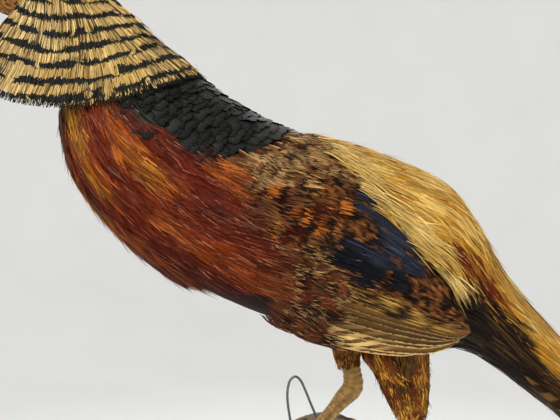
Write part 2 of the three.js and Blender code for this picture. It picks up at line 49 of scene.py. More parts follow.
LABEL = {NEAR: "left", FAR: "right"}
TURN = 2 * np.pi

# Sections of the body as in the part: back x z, belly x z, half the width, how much wider below.
SECTIONS = np.array([
    [-224, 390, -224, 379.5, 5.2, 0], [-220, 396.5, -220.5, 375, 8.6, 0], [-211, 402.5, -213.5, 370, 12.2, 0],
    [-200, 404.5, -205, 366.5, 14.5, 0], [-187, 402, -197, 363.5, 15.6, 0], [-173, 394.5, -189.5, 359.5, 16, 0],
    [-156, 382, -180.5, 352.5, 17.5, 0], [-139, 368.5, -172, 339, 21, 0], [-122, 354, -165.5, 324, 26, 0.03],
    [-104, 341, -162, 309, 32, 0.06], [-84, 327, -160.5, 289, 39, 0.08], [-63, 312, -152, 263, 44, 0.1],
    [-42, 300, -130, 235, 47, 0.1], [-20, 292, -101, 210.5, 49, 0.1], [3, 286.5, -69, 192.5, 50, 0.08],
    [26, 279, -33, 178.5, 48, 0.05], [47, 270, 5, 168, 44, 0.02], [64, 259.5, 37, 166.5, 39.5, 0],
    [79, 239, 56, 168, 34, 0], [91.5, 212.5, 70, 169, 29, 0], [102.5, 191, 81, 167, 25, 0],
])
LAST = len(SECTIONS) - 1
EYE = np.array([-208.5, 390.5])
EYE_OUT, EYE_RADIUS = 10.0, 5.1
WING_LOWER = np.array([[-94, -78, -56, -30, 0, 30, 56, 66], [240, 220, 201, 185, 176, 172, 173, 181]], float).T
WING_UPPER = np.array([[-94, -78, -52, -22, 8, 36, 58, 66], [248, 268, 278, 272, 256, 232, 206, 187]], float).T
WING_OUT = np.array([44, 50, 54, 56, 56, 51, 43, 39], float)
CAPE_CENTRE = (-175, 411)
TAIL_ROOT, TAIL_LENGTH = np.array([86.0, 196.0]), 690.0
TAIL_SLOPE, TAIL_DROOP = np.radians(41.5), np.radians(6)
BILL_ROOT = (-224.4, 385)
BRANCH_RADIUS = 17
SLICE_WIDE, SLICE_HIGH, SLICE_THICK, BARK = 70, 100, 24.0, 3.5  # half its width and height, and its bark


# ---------------------------------------------------------------- arithmetic
def linear(colour):
    """An sRGB hex colour as linear red, green and blue."""
    c = np.array([int(colour[i : i + 2], 16) for i in (1, 3, 5)]) / 255
    return np.where(c <= 0.04045, c / 12.92, ((c + 0.055) / 1.055) ** 2.4)


def unit(v):
    """Vectors made 1 long."""
    return v / np.maximum(np.linalg.norm(v, axis=-1, keepdims=True), 1e-12)


def dot(a, b):
    """The dot product along the last axis, which is kept."""
    return (a * b).sum(-1, keepdims=True)


def mix(a, b, t):
    """a where t is 0, b where it is 1, and a straight blend between."""
    return a + (b - a) * t


def rise(low, high, x):
    """0 below low, 1 above high and a smooth step between."""
    f = np.clip((x - low) / (high - low), 0, 1)
    return f * f * (3 - 2 * f)


def along(values, t):
    """Catmull-Rom values at places t along rows of values, with a step of 1 from one row to the next."""
    values = np.asarray(values, float)
    last = len(values) - 1
    i = np.clip(np.floor(t), 0, last - 1).astype(int)
    f = (t - i)[..., None] if values.ndim > 1 else t - i
    a, b, c, d = (values[np.clip(i + k, 0, last)] for k in (-1, 0, 1, 2))
    return 0.5 * (2 * b + (c - a) * f + (2 * a - 5 * b + 4 * c - d) * f**2 + (3 * b - 3 * c + d - a) * f**3)


def patchy(points, size, seed):
    """Soft patches about `size` mm across, -1 to 1: a random number at each corner of a lattice, blended between."""
    q = points / size + 500.5 + 7.3 * seed
    cell = np.floor(q).astype(np.int64)
    f = q - cell
    f = f * f * (3 - 2 * f)
    total = np.zeros(points.shape[:-1])
    for corner in np.ndindex(2, 2, 2):
        h = ((cell + corner) * np.array([374761393, 668265263, 974711])).sum(-1) + seed * 69069
        h = (h ^ (h >> 13)) * 1274126177 & 0x7FFFFFFF
        h = (h ^ (h >> 16)) & 0xFFFF
        total += (h / 32767.5 - 1) * np.where(np.array(corner) == 1, f, 1 - f).prod(-1)
    return total


def at_y(xz, y):
    """Points from their x and z, with y put between."""
    return np.stack([xz[..., 0], np.broadcast_to(y, xz.shape[:-1]), xz[..., 1]], -1)


def reached(path):
    """How far along a path each of its points lies, in mm."""
    return np.concatenate([[0], np.linalg.norm(np.diff(path, axis=0), axis=-1).cumsum()])


def vary(rng, low, high, count):
    """A column of random numbers from low to high."""
    return rng.uniform(low, high, count)[:, None]


def pick(rng, count, colours, weights):
    """A colour for each of `count`, chosen by weight."""
    weights = np.asarray(weights, float)
    colours = np.stack([linear(c) if isinstance(c, str) else c for c in colours])
    return colours[rng.choice(len(colours), count, p=weights / weights.sum())]


# ---------------------------------------------------------------- meshes
def grid_faces(count, rows, columns, ring=False):
    """Four-sided faces of `count` grids of rows x columns points; a ring also joins the last column to the first."""
    across = columns if ring else columns - 1
    k, r, c = np.meshgrid(np.arange(count), np.arange(rows - 1), np.arange(across), indexing="ij")
    start = (k * rows + r) * columns
    after = (c + 1) % columns
    return np.stack([start + c, start + after, start + columns + after, start + columns + c], -1).reshape(-1, 4)


def fan_faces(first, size, centre, turned=False):
    """Three-sided faces from a ring of points to a centre point."""
    i = np.arange(size)
    j = (i + 1) % size
    ring = (first + j, first + i) if turned else (first + i, first + j)
    return np.stack([np.full(size, centre), *ring], -1)


def outward(points, faces):
    """The faces of a closed shape, all turned round if the volume that they enclose comes out negative."""
    tri = np.concatenate([f[:, [0, k, k + 1]] for f in faces for k in range(1, f.shape[1] - 1)])
    a, b, c = (points[tri[:, k]] - points.mean(0) for k in range(3))
    return [f[:, ::-1] for f in faces] if (a * np.cross(b, c)).sum() < 0 else faces


def capped(rings):
    """Points and outward faces of a closed tube from its rings, with a fan over each end."""
    rows, n = rings.shape[:2]
    points = np.concatenate([rings.reshape(-1, 3), rings[[0, -1]].mean(1)])
    fans = [fan_faces(0, n, rows * n, True), fan_faces((rows - 1) * n, n, rows * n + 1)]
    return points, outward(points, [grid_faces(1, rows, n, ring=True), *fans])


def looped(rings):
    """Points and outward faces of rings whose last is joined to the first."""
    rows, n = rings.shape[:2]
    close = grid_faces(1, 2, n, ring=True)
    close = np.where(close < n, close + (rows - 1) * n, close - n)
    points = rings.reshape(-1, 3)
    return points, outward(points, [grid_faces(1, rows, n, ring=True), close])


def with_ends(values):
    """A value for each point of rings, with those of the two end points added."""
    return np.concatenate([values.ravel(), values[[0, -1]].mean(1)])


def piece(name, points, faces, material, slot, nodes=(), **data):
    """A mesh object from points in mm and lists of faces.

    Each named array has a row for each point, and becomes a UV map with two columns, a colour with three and a plain
    number with one.
    """
    mesh = bpy.data.meshes.new(name)
    sizes = np.concatenate([np.full(len(f), f.shape[1]) for f in faces])
    corners = np.concatenate([f.ravel() for f in faces]).astype(np.int32)
    mesh.vertices.add(len(points))
    mesh.vertices.foreach_set("co", (points * 0.001).astype(np.float32).ravel())
    mesh.loops.add(len(corners))
    mesh.loops.foreach_set("vertex_index", corners)
    mesh.polygons.add(len(sizes))
    mesh.polygons.foreach_set("loop_start", (np.cumsum(sizes) - sizes).astype(np.int32))
    mesh.polygons.foreach_set("use_smooth", np.ones(len(sizes), bool))
    mesh.update(calc_edges=True)
    for label, values in data.items():
        flat = np.asarray(values, np.float32).reshape(len(points), -1)
        if flat.shape[1] == 2:
            mesh.uv_layers.new(name=label).data.foreach_set("uv", flat[corners].ravel())
        elif flat.shape[1] == 3:
            flat = np.concatenate([flat, np.ones((len(flat), 1), np.float32)], 1)
            mesh.attributes.new(label, "FLOAT_COLOR", "POINT").data.foreach_set("color", flat.ravel())
        else:
            mesh.attributes.new(label, "FLOAT", "POINT").data.foreach_set("value", flat.ravel())
    mesh.materials.append(material)
    made = bpy.data.objects.new(name, mesh)
    bpy.context.collection.objects.link(made)
    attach(made, "root")
    if nodes:
        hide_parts(*nodes)


def tube(name, rings, groove, material, slot, node):
    """A closed tube from its rings, in place of a node, with a Groove number at each place."""
    groove = with_ends(np.broadcast_to(groove, rings.shape[:2]))
    piece(name, *capped(rings), material, slot, (node,), Groove=groove)


# ---------------------------------------------------------------- charts
def chart(surface, rows, columns, out, closed=False):
    """A surface kept as a grid over the unit square, with its normal and its two slopes at each place.

    surface(u, v) gives points. The normal is the cross product of the slopes, on the side that out(points) is on.
    A closed chart meets itself where v is 0 and 1.
    """
    u, v = np.meshgrid(np.linspace(0, 1, rows), np.linspace(0, 1, columns), indexing="ij")
    points = surface(u, v)
    du = np.gradient(points, 1 / (rows - 1), axis=0)
    dv = np.gradient(points, 1 / (columns - 1), axis=1)
    if closed:
        dv[:, 0] = dv[:, -1] = (points[:, 1] - points[:, -2]) * (columns - 1) / 2
    normal = unit(np.cross(du, dv))
    normal *= np.where(dot(normal, out(points)) < 0, -1, 1)
    return {"grid": np.concatenate([points, normal, du, dv], -1), "closed": closed}


def read(where, u, v):
    """Point, normal and slopes of a chart at (u, v), blended from its four nearest places."""
    grid = where["grid"]
    rows, columns = grid.shape[:2]
    x = np.clip(u, 0, 1) * (rows - 1)
    y = (v % 1 if where["closed"] else np.clip(v, 0, 1)) * (columns - 1)
    i = np.minimum(x.astype(int), rows - 2)
    j = np.minimum(y.astype(int), columns - 2)
    fx, fy = (x - i)[..., None], (y - j)[..., None]
    value = mix(mix(grid[i, j], grid[i, j + 1], fy), mix(grid[i + 1, j], grid[i + 1, j + 1], fy), fx)
    return value[..., :3], unit(value[..., 3:6]), value[..., 6:9], value[..., 9:12]


def ahead_of(where, u, v):
    """How far the chart's end is along u, in mm."""
    return (1.0 - u) * np.linalg.norm(read(where, u, v)[2], axis=-1)


def move(where, u, v, heading, ahead, aside=0.0):
    """The place reached from (u, v) by going `ahead` mm on a heading and `aside` mm across it, over the chart.

    A heading is an angle from the chart's first slope towards its second.
    """
    _, _, du, dv = read(where, u, v)
    first = unit(du)
    second = unit(dv - first * dot(dv, first))
    go_first = ahead * np.cos(heading) - aside * np.sin(heading)
    go_second = ahead * np.sin(heading) + aside * np.cos(heading)
    dv_step = go_second / np.maximum(dot(dv, second)[..., 0], 1e-6)
    du_step = (go_first - dv_step * dot(dv, first)[..., 0]) / np.maximum(np.linalg.norm(du, axis=-1), 1e-6)
    return u + du_step, v + dv_step


def trail(where, u, v, heading, length, rows, bend=0.0):
    """The places that vanes pass, in equal steps from the root, while the heading turns by `bend` to the tip."""
    places = [(u, v)]
    for k in range(rows - 1):
        places.append(move(where, *places[-1], heading + bend * (k + 0.5) / (rows - 1), length / (rows - 1)))
    return np.stack([np.stack(p, -1) for p in places], 1)


def scatter(where, count, keep, rng, low=(0, 0), high=(1, 1)):
    """Roots spread evenly by area over part of a chart, in proportion to keep(u, v, points), with their points."""
    u = rng.uniform(low[0], high[0], count * 24)
    v = rng.uniform(low[1], high[1], count * 24)
    points, _, du, dv = read(where, u, v)
    weight = np.linalg.norm(np.cross(du, dv), axis=-1) * keep(u, v, points)
    chosen = rng.choice(len(u), count, replace=False, p=weight / weight.sum())
    return u[chosen], v[chosen], points[chosen]


def shingle(where, low, high, step_u, step_v, rng, keep, jitter=0.16):
    """Roots in staggered rows over part of a chart, u before v, dropped where keep(u, v, points) fails a chance."""
    u0 = np.arange(low[0], high[0], step_u)
    u, v = np.meshgrid(u0, np.arange(low[1], high[1], step_v), indexing="ij")
    v = v + 0.5 * step_v * (np.arange(len(u0)) % 2)[:, None]
    u = (u + rng.uniform(-jitter, jitter, u.shape) * step_u).ravel()
    v = (v + rng.uniform(-jitter, jitter, v.shape) * step_v).ravel()
    points = read(where, u, v)[0]
    chosen = rng.uniform(size=len(u)) < keep(u, v, points)
    return u[chosen], v[chosen], points[chosen]


# ---------------------------------------------------------------- vanes
SLENDER = lambda s: np.clip((1 - s) * 3.2, 0.08, 1) ** 0.7 * np.clip(s * 5, 0.35, 1)
SQUARE = lambda s: np.clip(0.45 + 1.6 * s, 0, 1) * np.clip((1 - s) * 9, 0.5, 1) ** 0.4
COMB = lambda s: np.clip(0.5 + 2 * s, 0, 1) * np.clip((1 - s) * 9, 0.55, 1)
BLADE = lambda s: np.clip(s * 7, 0.3, 1) ** 0.6 * np.clip((1 - s) * 4.5, 0.03, 1) ** 0.6
BROAD = lambda s: np.clip(0.7 + 0.4 * s, 0, 1) * np.clip((1 - s) * 7, 0.02, 1) ** 0.6
SHAFT = lambda s: 1.05 - 0.85 * s


def lay(where, places, half, shape, height, columns=3, cup=0.0, roll=0.0, ragged=0.0, rng=None, thick=0.0):
    """Vanes over a chart, as grids of points.

    The middle line passes through the places, `height` mm above the chart (one value for each row, or one for each
    vane and row). Across it the vane reaches half * shape(s) each way, where s runs from 0 at the root to 1 at the
    tip; it is rolled by `roll` about its own line, and its edges drop by `cup` of its half width.
    `ragged` mm of noise frays the tip's row. `thick` closes it with a lower face.
    """
    count, rows = places.shape[:2]
    point, normal, _, _ = read(where, places[..., 0], places[..., 1])
    s = np.linspace(0, 1, rows)
    centre = point + normal * np.broadcast_to(height, (count, rows))[..., None]
    tangent = unit(np.gradient(centre, axis=1))
    side = unit(np.cross(tangent, normal))
    up = np.cross(side, tangent)
    turn = np.broadcast_to(roll, count)[:, None, None]
    side, up = side * np.cos(turn) + up * np.sin(turn), up * np.cos(turn) - side * np.sin(turn)
    reach = np.broadcast_to(half, count)[:, None] * shape(s)
    c = np.linspace(-1, 1, columns)
    offset = c * reach[..., None]
    points = centre[:, :, None] + side[:, :, None] * offset[..., None]
    points -= up[:, :, None] * (cup * c**2 * reach[..., None])[..., None]
    if ragged:
        fray = (rng.uniform(-1, 1, (count, columns)) * ragged)[..., None]
        points[:, -1] += tangent[:, -1:] * fray
        points[:, -2] += tangent[:, -2:-1] * fray * 0.5
    length = np.linalg.norm(np.diff(centre, axis=1), axis=-1).sum(1)
    run = ((1 - s) * length[:, None])[..., None]
    run, offset, c = (np.broadcast_to(a, points.shape[:-1]) for a in (run, offset, c))
    if thick:
        lower = points[:, :, ::-1] - up[:, :, None] * (thick * np.clip(2 - 2 * s, 0.3, 1))[None, :, None, None]
        points = np.concatenate([points, lower], 2)
        run, offset, c = (np.concatenate([a, a[:, :, ::-1]], 2) for a in (run, offset, c))
    return dict(points=points, run=run, offset=offset, across=c, s=s, root=places[:, 0], ring=bool(thick))


def locks(
    where, u, v, heading, rng, per, width, length, rows, half, sink=3.6, loft=1.3, splay=-0.05, fray=0.04, bend=0.12,
    stray=0.03, slip=2.5, shape=SLENDER,
):
    """Locks of `per` strands side by side over `width` mm, one lock from each root.

    The strands rise from `sink` mm under the chart to a layer of their own up to `loft` mm above it. `splay` turns
    them apart, `fray` and `bend` are how much headings and curves differ, a share `stray` of them stands out at the
    tip, and `slip` mm scatters their roots along. Gives the vanes, and each one's lock and place across it.
    """
    number = np.repeat(np.arange(len(u)), per)
    n = len(number)
    across = np.tile(np.linspace(-1, 1, per), len(u)) + rng.uniform(-0.5, 0.5, n) / per
    wide = np.broadcast_to(width, len(u))[number]
    nu, nv = move(where, u[number], v[number], heading[number], rng.uniform(-slip, slip, n), across * wide / 2)
    size = np.broadcast_to(length, len(u))[number] * rng.uniform(0.8, 1.1, n)
    angle = heading[number] + splay * across + rng.normal(0, fray, n)
    curl = rng.normal(0, bend, len(u))[number] + rng.normal(0, bend * 0.6, n)
    places = trail(where, nu, nv, angle, size, rows, curl)
    s = np.linspace(0, 1, rows)
    layer = rng.uniform(0, loft, len(u))[number] + rng.uniform(0, 0.4, n)
    wild = (rng.uniform(size=n) < stray) * rng.uniform(0.8, 3.2, n)
    height = mix(-sink, -0.4, rise(0, 0.55, s)) + layer[:, None] * rise(0, 0.5, s) + wild[:, None] * s**3
    vanes = lay(where, places, rng.uniform(*half, n), shape, height, 2, roll=rng.normal(0, 0.35, n))
    return vanes, number, across


def spread(values, shape):
    """Colours for all, for each vane, for each of its rows or for each point, as one for each point."""
    values = np.asarray(linear(values) if isinstance(values, str) else values, float)
    if values.ndim in (2, 3):
        values = values[:, None, None] if values.ndim == 2 else values[:, :, None]
    return np.broadcast_to(values, (*shape, 3))


def paint(vanes, tint, trim=None, mark=0.0, shade=(0.5, 1.0)):
    """Gives vanes their colours: a tint and an edge colour, both darkened towards the root as painted shade, and a
    number, the mark.
    """
    shape = vanes["across"].shape
    # painted shade: each vane is darkened from shade[0] at its root to shade[1] at 0.6 of its length, where the vanes
    # above shade it
    dark = mix(*shade, rise(0, 0.6, vanes["s"]))[None, :, None, None]
    vanes["Tint"] = spread(tint, shape) * dark
    vanes["Trim"] = spread(tint if trim is None else trim, shape) * dark
    mark = np.atleast_1d(np.asarray(mark, float))
    vanes["Mark"] = np.broadcast_to(mark.reshape(*mark.shape, *[1] * (3 - mark.ndim)), shape)
    return vanes


def dealt(vanes, parts):
    """Vanes dealt out into several groups, to keep each piece of the coat light."""
    return [{k: a if k in ("s", "ring") else a[i::parts] for k, a in vanes.items()} for i in range(parts)]


def coat(name, groups, material, slot, nodes=(), span=(0, 0, 1, 1)):
    """One piece of the coat from groups of vanes.

    Its Vane map is (across, from the tip) in mm / 100, and its Rim number goes to 1 at a vane's sides and tip. Its
    OFBake map gives each vane a patch 0.003 across at its root's place, where `span` (low u, low v, high u, high v)
    is the part of the chart that fills the map.
    """
    rng = np.random.default_rng(5)
    low, high = np.array(span[:2]), np.array(span[2:])
    faces, data, start = [], [], 0
    for g in groups:
        shape = g["across"].shape
        faces.append(grid_faces(*shape, g["ring"]) + start)
        start += g["across"].size
        root = np.stack([g["root"][:, 0], g["root"][:, 1] % 1.0], -1)
        place = 0.01 + 0.98 * np.clip((root - low) / (high - low), 0, 1)
        patch = np.stack([g["across"], np.broadcast_to(2 * g["s"][:, None] - 1, shape)], -1) * 0.0015
        data.append({
            "points": g["points"],
            "Vane": np.stack([g["offset"], g["run"]], -1) / 100,
            "OFBake": place[:, None, None] + patch,
            "Tint": g["Tint"],
            "Trim": g["Trim"],
            "Chance": np.broadcast_to(rng.uniform(size=shape[0])[:, None, None], shape),
            "Rim": np.maximum(abs(g["across"]), 1 - g["run"] / abs(g["offset"]).max((1, 2), keepdims=True)),
            "Mark": g["Mark"],
        })
    data = {label: np.concatenate([d[label].reshape(-1, *d[label].shape[3:]) for d in data]) for label in data[0]}
    piece(name, data.pop("points"), faces, material, slot, nodes, **data)


def quilt(name, where, slot, nodes, lift, thick, tint, low=(0, 0), high=(1, 1), size=(90, 40)):
    """A closed sheet of down under a chart: its upper face `lift` mm above it, its lower face `thick` mm below that."""
    rows, columns = size
    u, v = np.meshgrid(np.linspace(low[0], high[0], rows), np.linspace(low[1], high[1], columns), indexing="ij")
    points, normal, _, _ = read(where, u, v)
    edge_u = np.minimum(u - low[0], high[0] - u) / (high[0] - low[0])
    edge_v = np.minimum(v - low[1], high[1] - v) / (high[1] - low[1])
    taper = rise(0, 0.08, np.minimum(edge_u, edge_v))
    upper = points + normal * (lift - 0.3 * thick * (1 - taper) + 0.2 * patchy(points, 4, 3))[..., None]
    lower = points + normal * (lift - thick * mix(0.35, 1, taper))[..., None]
    ring = np.concatenate([upper, lower[:, ::-1]], 1).reshape(-1, 3)
    n = 2 * columns
    i = np.arange(columns - 1)
    near, far = (np.stack([k + i, k + i + 1, k + n - 2 - i, k + n - 1 - i], -1) for k in (0, (rows - 1) * n))
    faces = outward(ring, [grid_faces(1, rows, n, ring=True), near[:, ::-1], far])
    piece(name, ring, faces, SKIN, slot, nodes, Tint=np.broadcast_to(tint, ring.shape))


# ---------------------------------------------------------------- surfaces of the part
def body_section(t, grow=0.0):
    """Centre, upward half, half width and low-wideness of the body's section at t."""
    v = along(SECTIONS, t)
    back, belly = at_y(v[..., :2], MID), at_y(v[..., 2:4], MID)
    centre = (back + belly) / 2
    up = back - centre
    length = np.linalg.norm(up, axis=-1, keepdims=True)
    return centre, up * (length + grow) / length, v[..., 4] + grow, v[..., 5]


def body_surface(u, v):
    """The body as in the part: each section is an ellipse, widened below. v turns from the belly by the far side."""
    centre, up, half, low = body_section(u * LAST)
    a = TURN * v - np.pi / 2
    points = centre + up * np.sin(a)[..., None]
    points[..., 1] += half * np.cos(a) * (1 - low * np.sin(a))
    return points


def from_body(points):
    """The direction away from the body's own line, at the same height."""
    centre = body_section(np.linspace(0, 1, points.shape[0]) * LAST)[0]
    return points - centre[:, None]


def body_half(x, z, grow):
    """Half the width of the body at (x, z) in its own plane, found between each two sections; 0 outside it."""
    x, z = x[..., None], z[..., None]
    t = np.arange(0, LAST + 0.01, 0.25)
    centre, up, _, _ = body_section(t, grow)
    off = up[:, 0] * (z - centre[:, 2]) - up[:, 2] * (x - centre[:, 0])
    a, b = off[..., :-1], off[..., 1:]
    centre, up, half, low = body_section(t[:-1] + 0.25 * a / np.where(a == b, 1, a - b), grow)
    s = (up[..., 0] * (x - centre[..., 0]) + up[..., 2] * (z - centre[..., 2])) / dot(up, up)[..., 0]
    width = half * np.sqrt(np.clip(1 - s * s, 0, 1)) * (1 - low * s)
    return np.where((a * b <= 0) & (abs(s) < 1), width, 0).max(-1)


def wing_surface(side):
    """The folded wing's outer face: a leaf from the wrist to the tip by u and from its lower edge up by v."""

    def surface(u, v):
        t = u * (len(WING_OUT) - 1)
        bow = 11 * np.maximum(0, 2 * v - 1) ** 2 + 5 * np.maximum(0, 1 - 2 * v) ** 2
        xz = mix(along(WING_LOWER, t), along(WING_UPPER, t), v[..., None])
        return at_y(xz, MID + side * (along(WING_OUT, t) - bow))

    return surface


def torso_surface(u, v):
    """The body with the folded wings' outer faces raised out of it, softened where they begin."""
    points = body_surface(u, v)
    leaf = wing_surface(FAR)(*np.meshgrid(np.linspace(0, 1, 500), np.linspace(0, 1, 260), indexing="ij"))
    cells = np.zeros((120, 90))
    place = lambda x, z: (np.clip((x + 110) / 2, 0, 119).astype(int), np.clip((z - 150) / 2, 0, 89).astype(int))
    np.maximum.at(cells, place(leaf[..., 0], leaf[..., 2]), leaf[..., 1] - MID)
    out = points[..., 1] - MID
    over = cells[place(points[..., 0], points[..., 2])] - abs(out)
    lift = np.clip(over, 0, 14) * rise(0.35, 0.6, abs(unit(from_body(points))[..., 1]))
    for _ in range(4):
        lift = (np.roll(lift, 2, 1) + np.roll(lift, -2, 1) + lift) / 3
        lift[2:-2] = (lift[:-4] + lift[4:] + lift[2:-2]) / 3
    points[..., 1] += np.sign(out) * lift
    return points


def cape_surface(u, v):
    """The cape as in the part: a fan about a point behind the head, wrapped round the neck.

    u goes from its near front edge over the nape to its far front edge, and v from its root out.
    """
    near = u < 0.6
    share = np.where(near, 1 - u / 0.6, (u - 0.6) / 0.4)
    front = np.where(near, np.radians(90) + np.radians(24) * v**0.9, np.radians(88))
    nape = np.radians(41.8)
    angle = mix(nape, front, share)
    r = mix(31.0, mix(130.0, 98.0, 1 - (1 - share) ** 1.2), v)
    x = CAPE_CENTRE[0] + r * np.cos(angle)
    z = CAPE_CENTRE[1] - r * np.sin(angle)
    wrapped = np.sin(np.minimum(1, (angle - nape) / np.radians(26)) * np.pi / 2)
    half = mix(15, np.where(near, 41, 30), v**1.3) * wrapped
    out = np.where(near, NEAR, FAR) * np.maximum(half, body_half(x, z, 3.2))
    return np.stack([x, MID + out, z], -1)


def tail_place(t, y, n):
    """A place on the tail: along its drooping line by t, y across it and n above it."""
    steps = np.linspace(0, 1, 49)
    a = TAIL_SLOPE + TAIL_DROOP * steps
    t, y, n = np.broadcast_arrays(t, y, n)
    slope = TAIL_SLOPE + TAIL_DROOP * t
    ahead, down = (
        np.interp(t, steps, np.concatenate([[0], np.cumsum((f(a[1:]) + f(a[:-1])) / 2)]) / 48 * TAIL_LENGTH)
        for f in (np.cos, np.sin)
    )
    x, z = TAIL_ROOT[0] + ahead + n * np.sin(slope), TAIL_ROOT[1] - down + n * np.cos(slope)
    return np.stack([x, MID + y, z], -1)


def roof_surface(u, v):
    """The face of the middle pair: a low arch across the tail."""
    y = mix(-24, 24, v) * mix(1, 0.75, u)
    return tail_place(u, y, 5 - 13 * (y / 24) ** 2)


def blade_surface(side):
    """One side's shorter tail feathers, from the ridge at v = 0 down and out to their lower edge."""

    def surface(u, v):
        sink = np.clip(1 - np.clip(u, 0, 1) ** 2, 0.05, 1) ** 0.8
        return tail_place(0.76 * u, side * mix(3, mix(21, 13, u), v), -2.5 - 18.5 * sink * v**1.2 - 4 * u)

    return surface


def plume_surface(u, v):
    """The coverts round the root of the tail: rings that shrink along it. v turns from below by the far side."""
    swell = mix(1, 0.45, u) * (1 - 0.5 * u**4)
    a = TURN * v - np.pi / 2
    return tail_place(0.33 * u, 26 * swell * np.cos(a), mix(-8, -2, u) + 19.3 * swell * np.sin(a))


def bridge_surface(u, v):
    """The rump's end and the coverts as one: rings of both, joined and smoothed along."""
    ends = [(TORSO, t) for t in (0.84, 0.88, 0.92, 0.95)] + [(PLUMES, t) for t in (0.2, 0.3, 0.42, 0.56, 0.7)]
    rings = np.stack([read(where, np.full_like(v[0], t), v[0])[0] for where, t in ends])
    run = np.concatenate([[0], np.linalg.norm(np.diff(rings, axis=0), axis=-1).mean(1).cumsum()])
    k = np.interp(u[:, 0] * run[-1], run, np.arange(len(run)))
    low = np.minimum(k.astype(int), len(run) - 2)
    points = mix(rings[low], rings[low + 1], (k - low)[:, None, None])
    for _ in range(40):
        points[1:-1] = (points[:-2] + 2 * points[1:-1] + points[2:]) / 4
    return points


def crest_surface(u, v):
    """The crest's upper face: an arch over a path from the bill over the crown, v from side to side."""
    path = np.array([[-222, 394], [-214, 404], [-200, 408], [-184, 405], [-168, 396.5], [-153, 390], [-140, 381]])
    last = len(path) - 1
    t = u * last
    ahead = unit(along(path, np.minimum(t + 0.02, last)) - along(path, np.maximum(t - 0.02, 0)))
    up = np.stack([-ahead[..., 1], ahead[..., 0]], -1)
    swell = np.sqrt(np.sin(np.pi * mix(0.06, 0.74, u)))
    c = 2 * v - 1
    y = 15 * swell * c
    lift = 4 * swell * np.sqrt(np.clip(1 - c * c, 0, 1)) - 0.035 * y * y
    return at_y(along(path, t) + up * lift[..., None], MID + y)


def away(*direction):
    """A direction for a chart's normals that is the same everywhere."""
    return lambda points: np.broadcast_to(np.array(direction, float), points.shape)


def from_line(points):
    """The direction away from the middle of each ring of points."""
    return points - points[:, :-1].mean(1, keepdims=True)


BODY = chart(body_surface, 321, 181, from_body, closed=True)
TORSO = chart(torso_surface, 321, 241, from_body, closed=True)
WING = {side: chart(wing_surface(side), 121, 81, away(0, side, 0)) for side in LABEL}
CAPE = chart(cape_surface, 161, 61, lambda p: p - np.array([-160, MID, 330]))
CREST = chart(crest_surface, 81, 41, away(0, 0, 1))
ROOF = chart(roof_surface, 121, 31, away(0.7, 0, 0.7))
TAIL_SIDE = {side: chart(blade_surface(side), 101, 31, away(0.3, side, 0.3)) for side in LABEL}
PLUMES = chart(plume_surface, 61, 91, from_line, closed=True)
BRIDGE = chart(bridge_surface, 61, 91, from_line, closed=True)


# ---------------------------------------------------------------- the markings, shared by the skin and its coat
RUST, MAROON, WINE, BELLY = map(linear, ("#63200a", "#551807", "#3c0d05", "#3a1a0f"))
# the gleam colour is a painted highlight, not a feather colour: the pale pink glint on silky breast barbs
ORANGE, PAINTED_GLEAM, STRAW, CREAM = map(linear, ("#a1500f", "#a0634a", "#b8954f", "#e3c68f"))
GOLD, SILK, AMBER, BUFF = map(linear, ("#c69a45", "#dcbb72", "#a86f26", "#a58052"))
BLACK, GREEN_BLACK, UMBER, SOOT = map(linear, ("#14120f", "#23261f", "#4a2916", "#1f130b"))
NAVY, SLATE, OLIVE = map(linear, ("#232838", "#3c3d44", "#4c3a20"))


def where_on(u, v):
    """A place on the body as its section, counted from the bill, and its angle from the back line in degrees."""
    return LAST * u, 360 * abs(v % 1 - 0.5)


def on_side(v, side):
    """Whether places on the body are on one side of it."""
    return np.where(v > 0.5, NEAR, FAR) == side


def silk_edge(t):
    """How far down from the back line the golden silk reaches, in degrees, at sections t."""
    return np.interp(t, [12.4, 13.3, 13.9, 14.75, 15.75, 16.6, 17.3, 18.7, 20], [14, 30, 45, 63, 77, 87, 93, 108, 116])


def mantle_edge(t):
    """How far down from the back line the mantle reaches, in degrees, at sections t."""
    return np.interp(t, [9, 10.3, 10.8, 11.75, 12.05, 12.3], [85, 85, 77, 74, 69, 53])


def wrist_edge(z):
    """Where the breast's long barbs give way to the shoulder feathers: x by z."""
    return np.interp(z, [202, 222, 243, 258, 280], [-42, -47, -54, -60, -66])


def depth(u):
    """How far the skin lies inside the coat, from 0.7 mm on the face to 4.5 mm on the trunk."""
    return np.interp(u * LAST, [0, 3, 6, 9, 18, 20], [0.7, 0.9, 2.2, 4.2, 4.5, 3.5])


def plumage(u, v, points):
    """The colour of the plumage at places on the body: zones laid one over another, over soft wavy borders. The dark
    zone behind and below the wing's rear is painted shadow.
    """
    t, turn = where_on(u, v)
    t, turn = t + 0.35 * patchy(points, 13, 1), turn + 9 * patchy(points, 11, 2)
    colour = RUST
    for other, share in (
        (MAROON, rise(9.5, 11.5, t)),
        (BELLY, rise(13, 15.5, t) + rise(110, 150, turn) * rise(12, 14, t)),
        (UMBER, rise(12.6, 13.6, t) * rise(112, 92, turn)),
        # painted shadow: behind and below the wing's rear, round the vent, where the body lies in shade
        (SOOT, 0.85 * rise(15.4, 16.4, t) * rise(78, 90, turn)),
        (mix(GOLD, AMBER, rise(16.8, 19.5, t)[..., None]), rise(4, -4, turn - silk_edge(t)) * rise(12.3, 12.7, t)),
        (MAROON, rise(18.2, 20, t) * rise(50, 70, turn) * rise(100, 85, turn)),
        (GREEN_BLACK, rise(12.6, 12.3, t) * rise(9, 9.4, t) * rise(5, -5, turn - mantle_edge(t))),
        (mix(STRAW, SOOT, 0.85), rise(9.6, 8.8, t)),
        (linear("#3a2210"), rise(9.3, 8.3, t) * rise(95, 120, turn)),
        (linear("#9a6a38"), rise(6.6, 5.2, t) * rise(60, 80, turn)),
        (GOLD, rise(6.6, 5.6, t) * rise(66, 52, turn)),
    ):
        colour = mix(colour, other, np.clip(share, 0, 1)[..., None])
    return colour


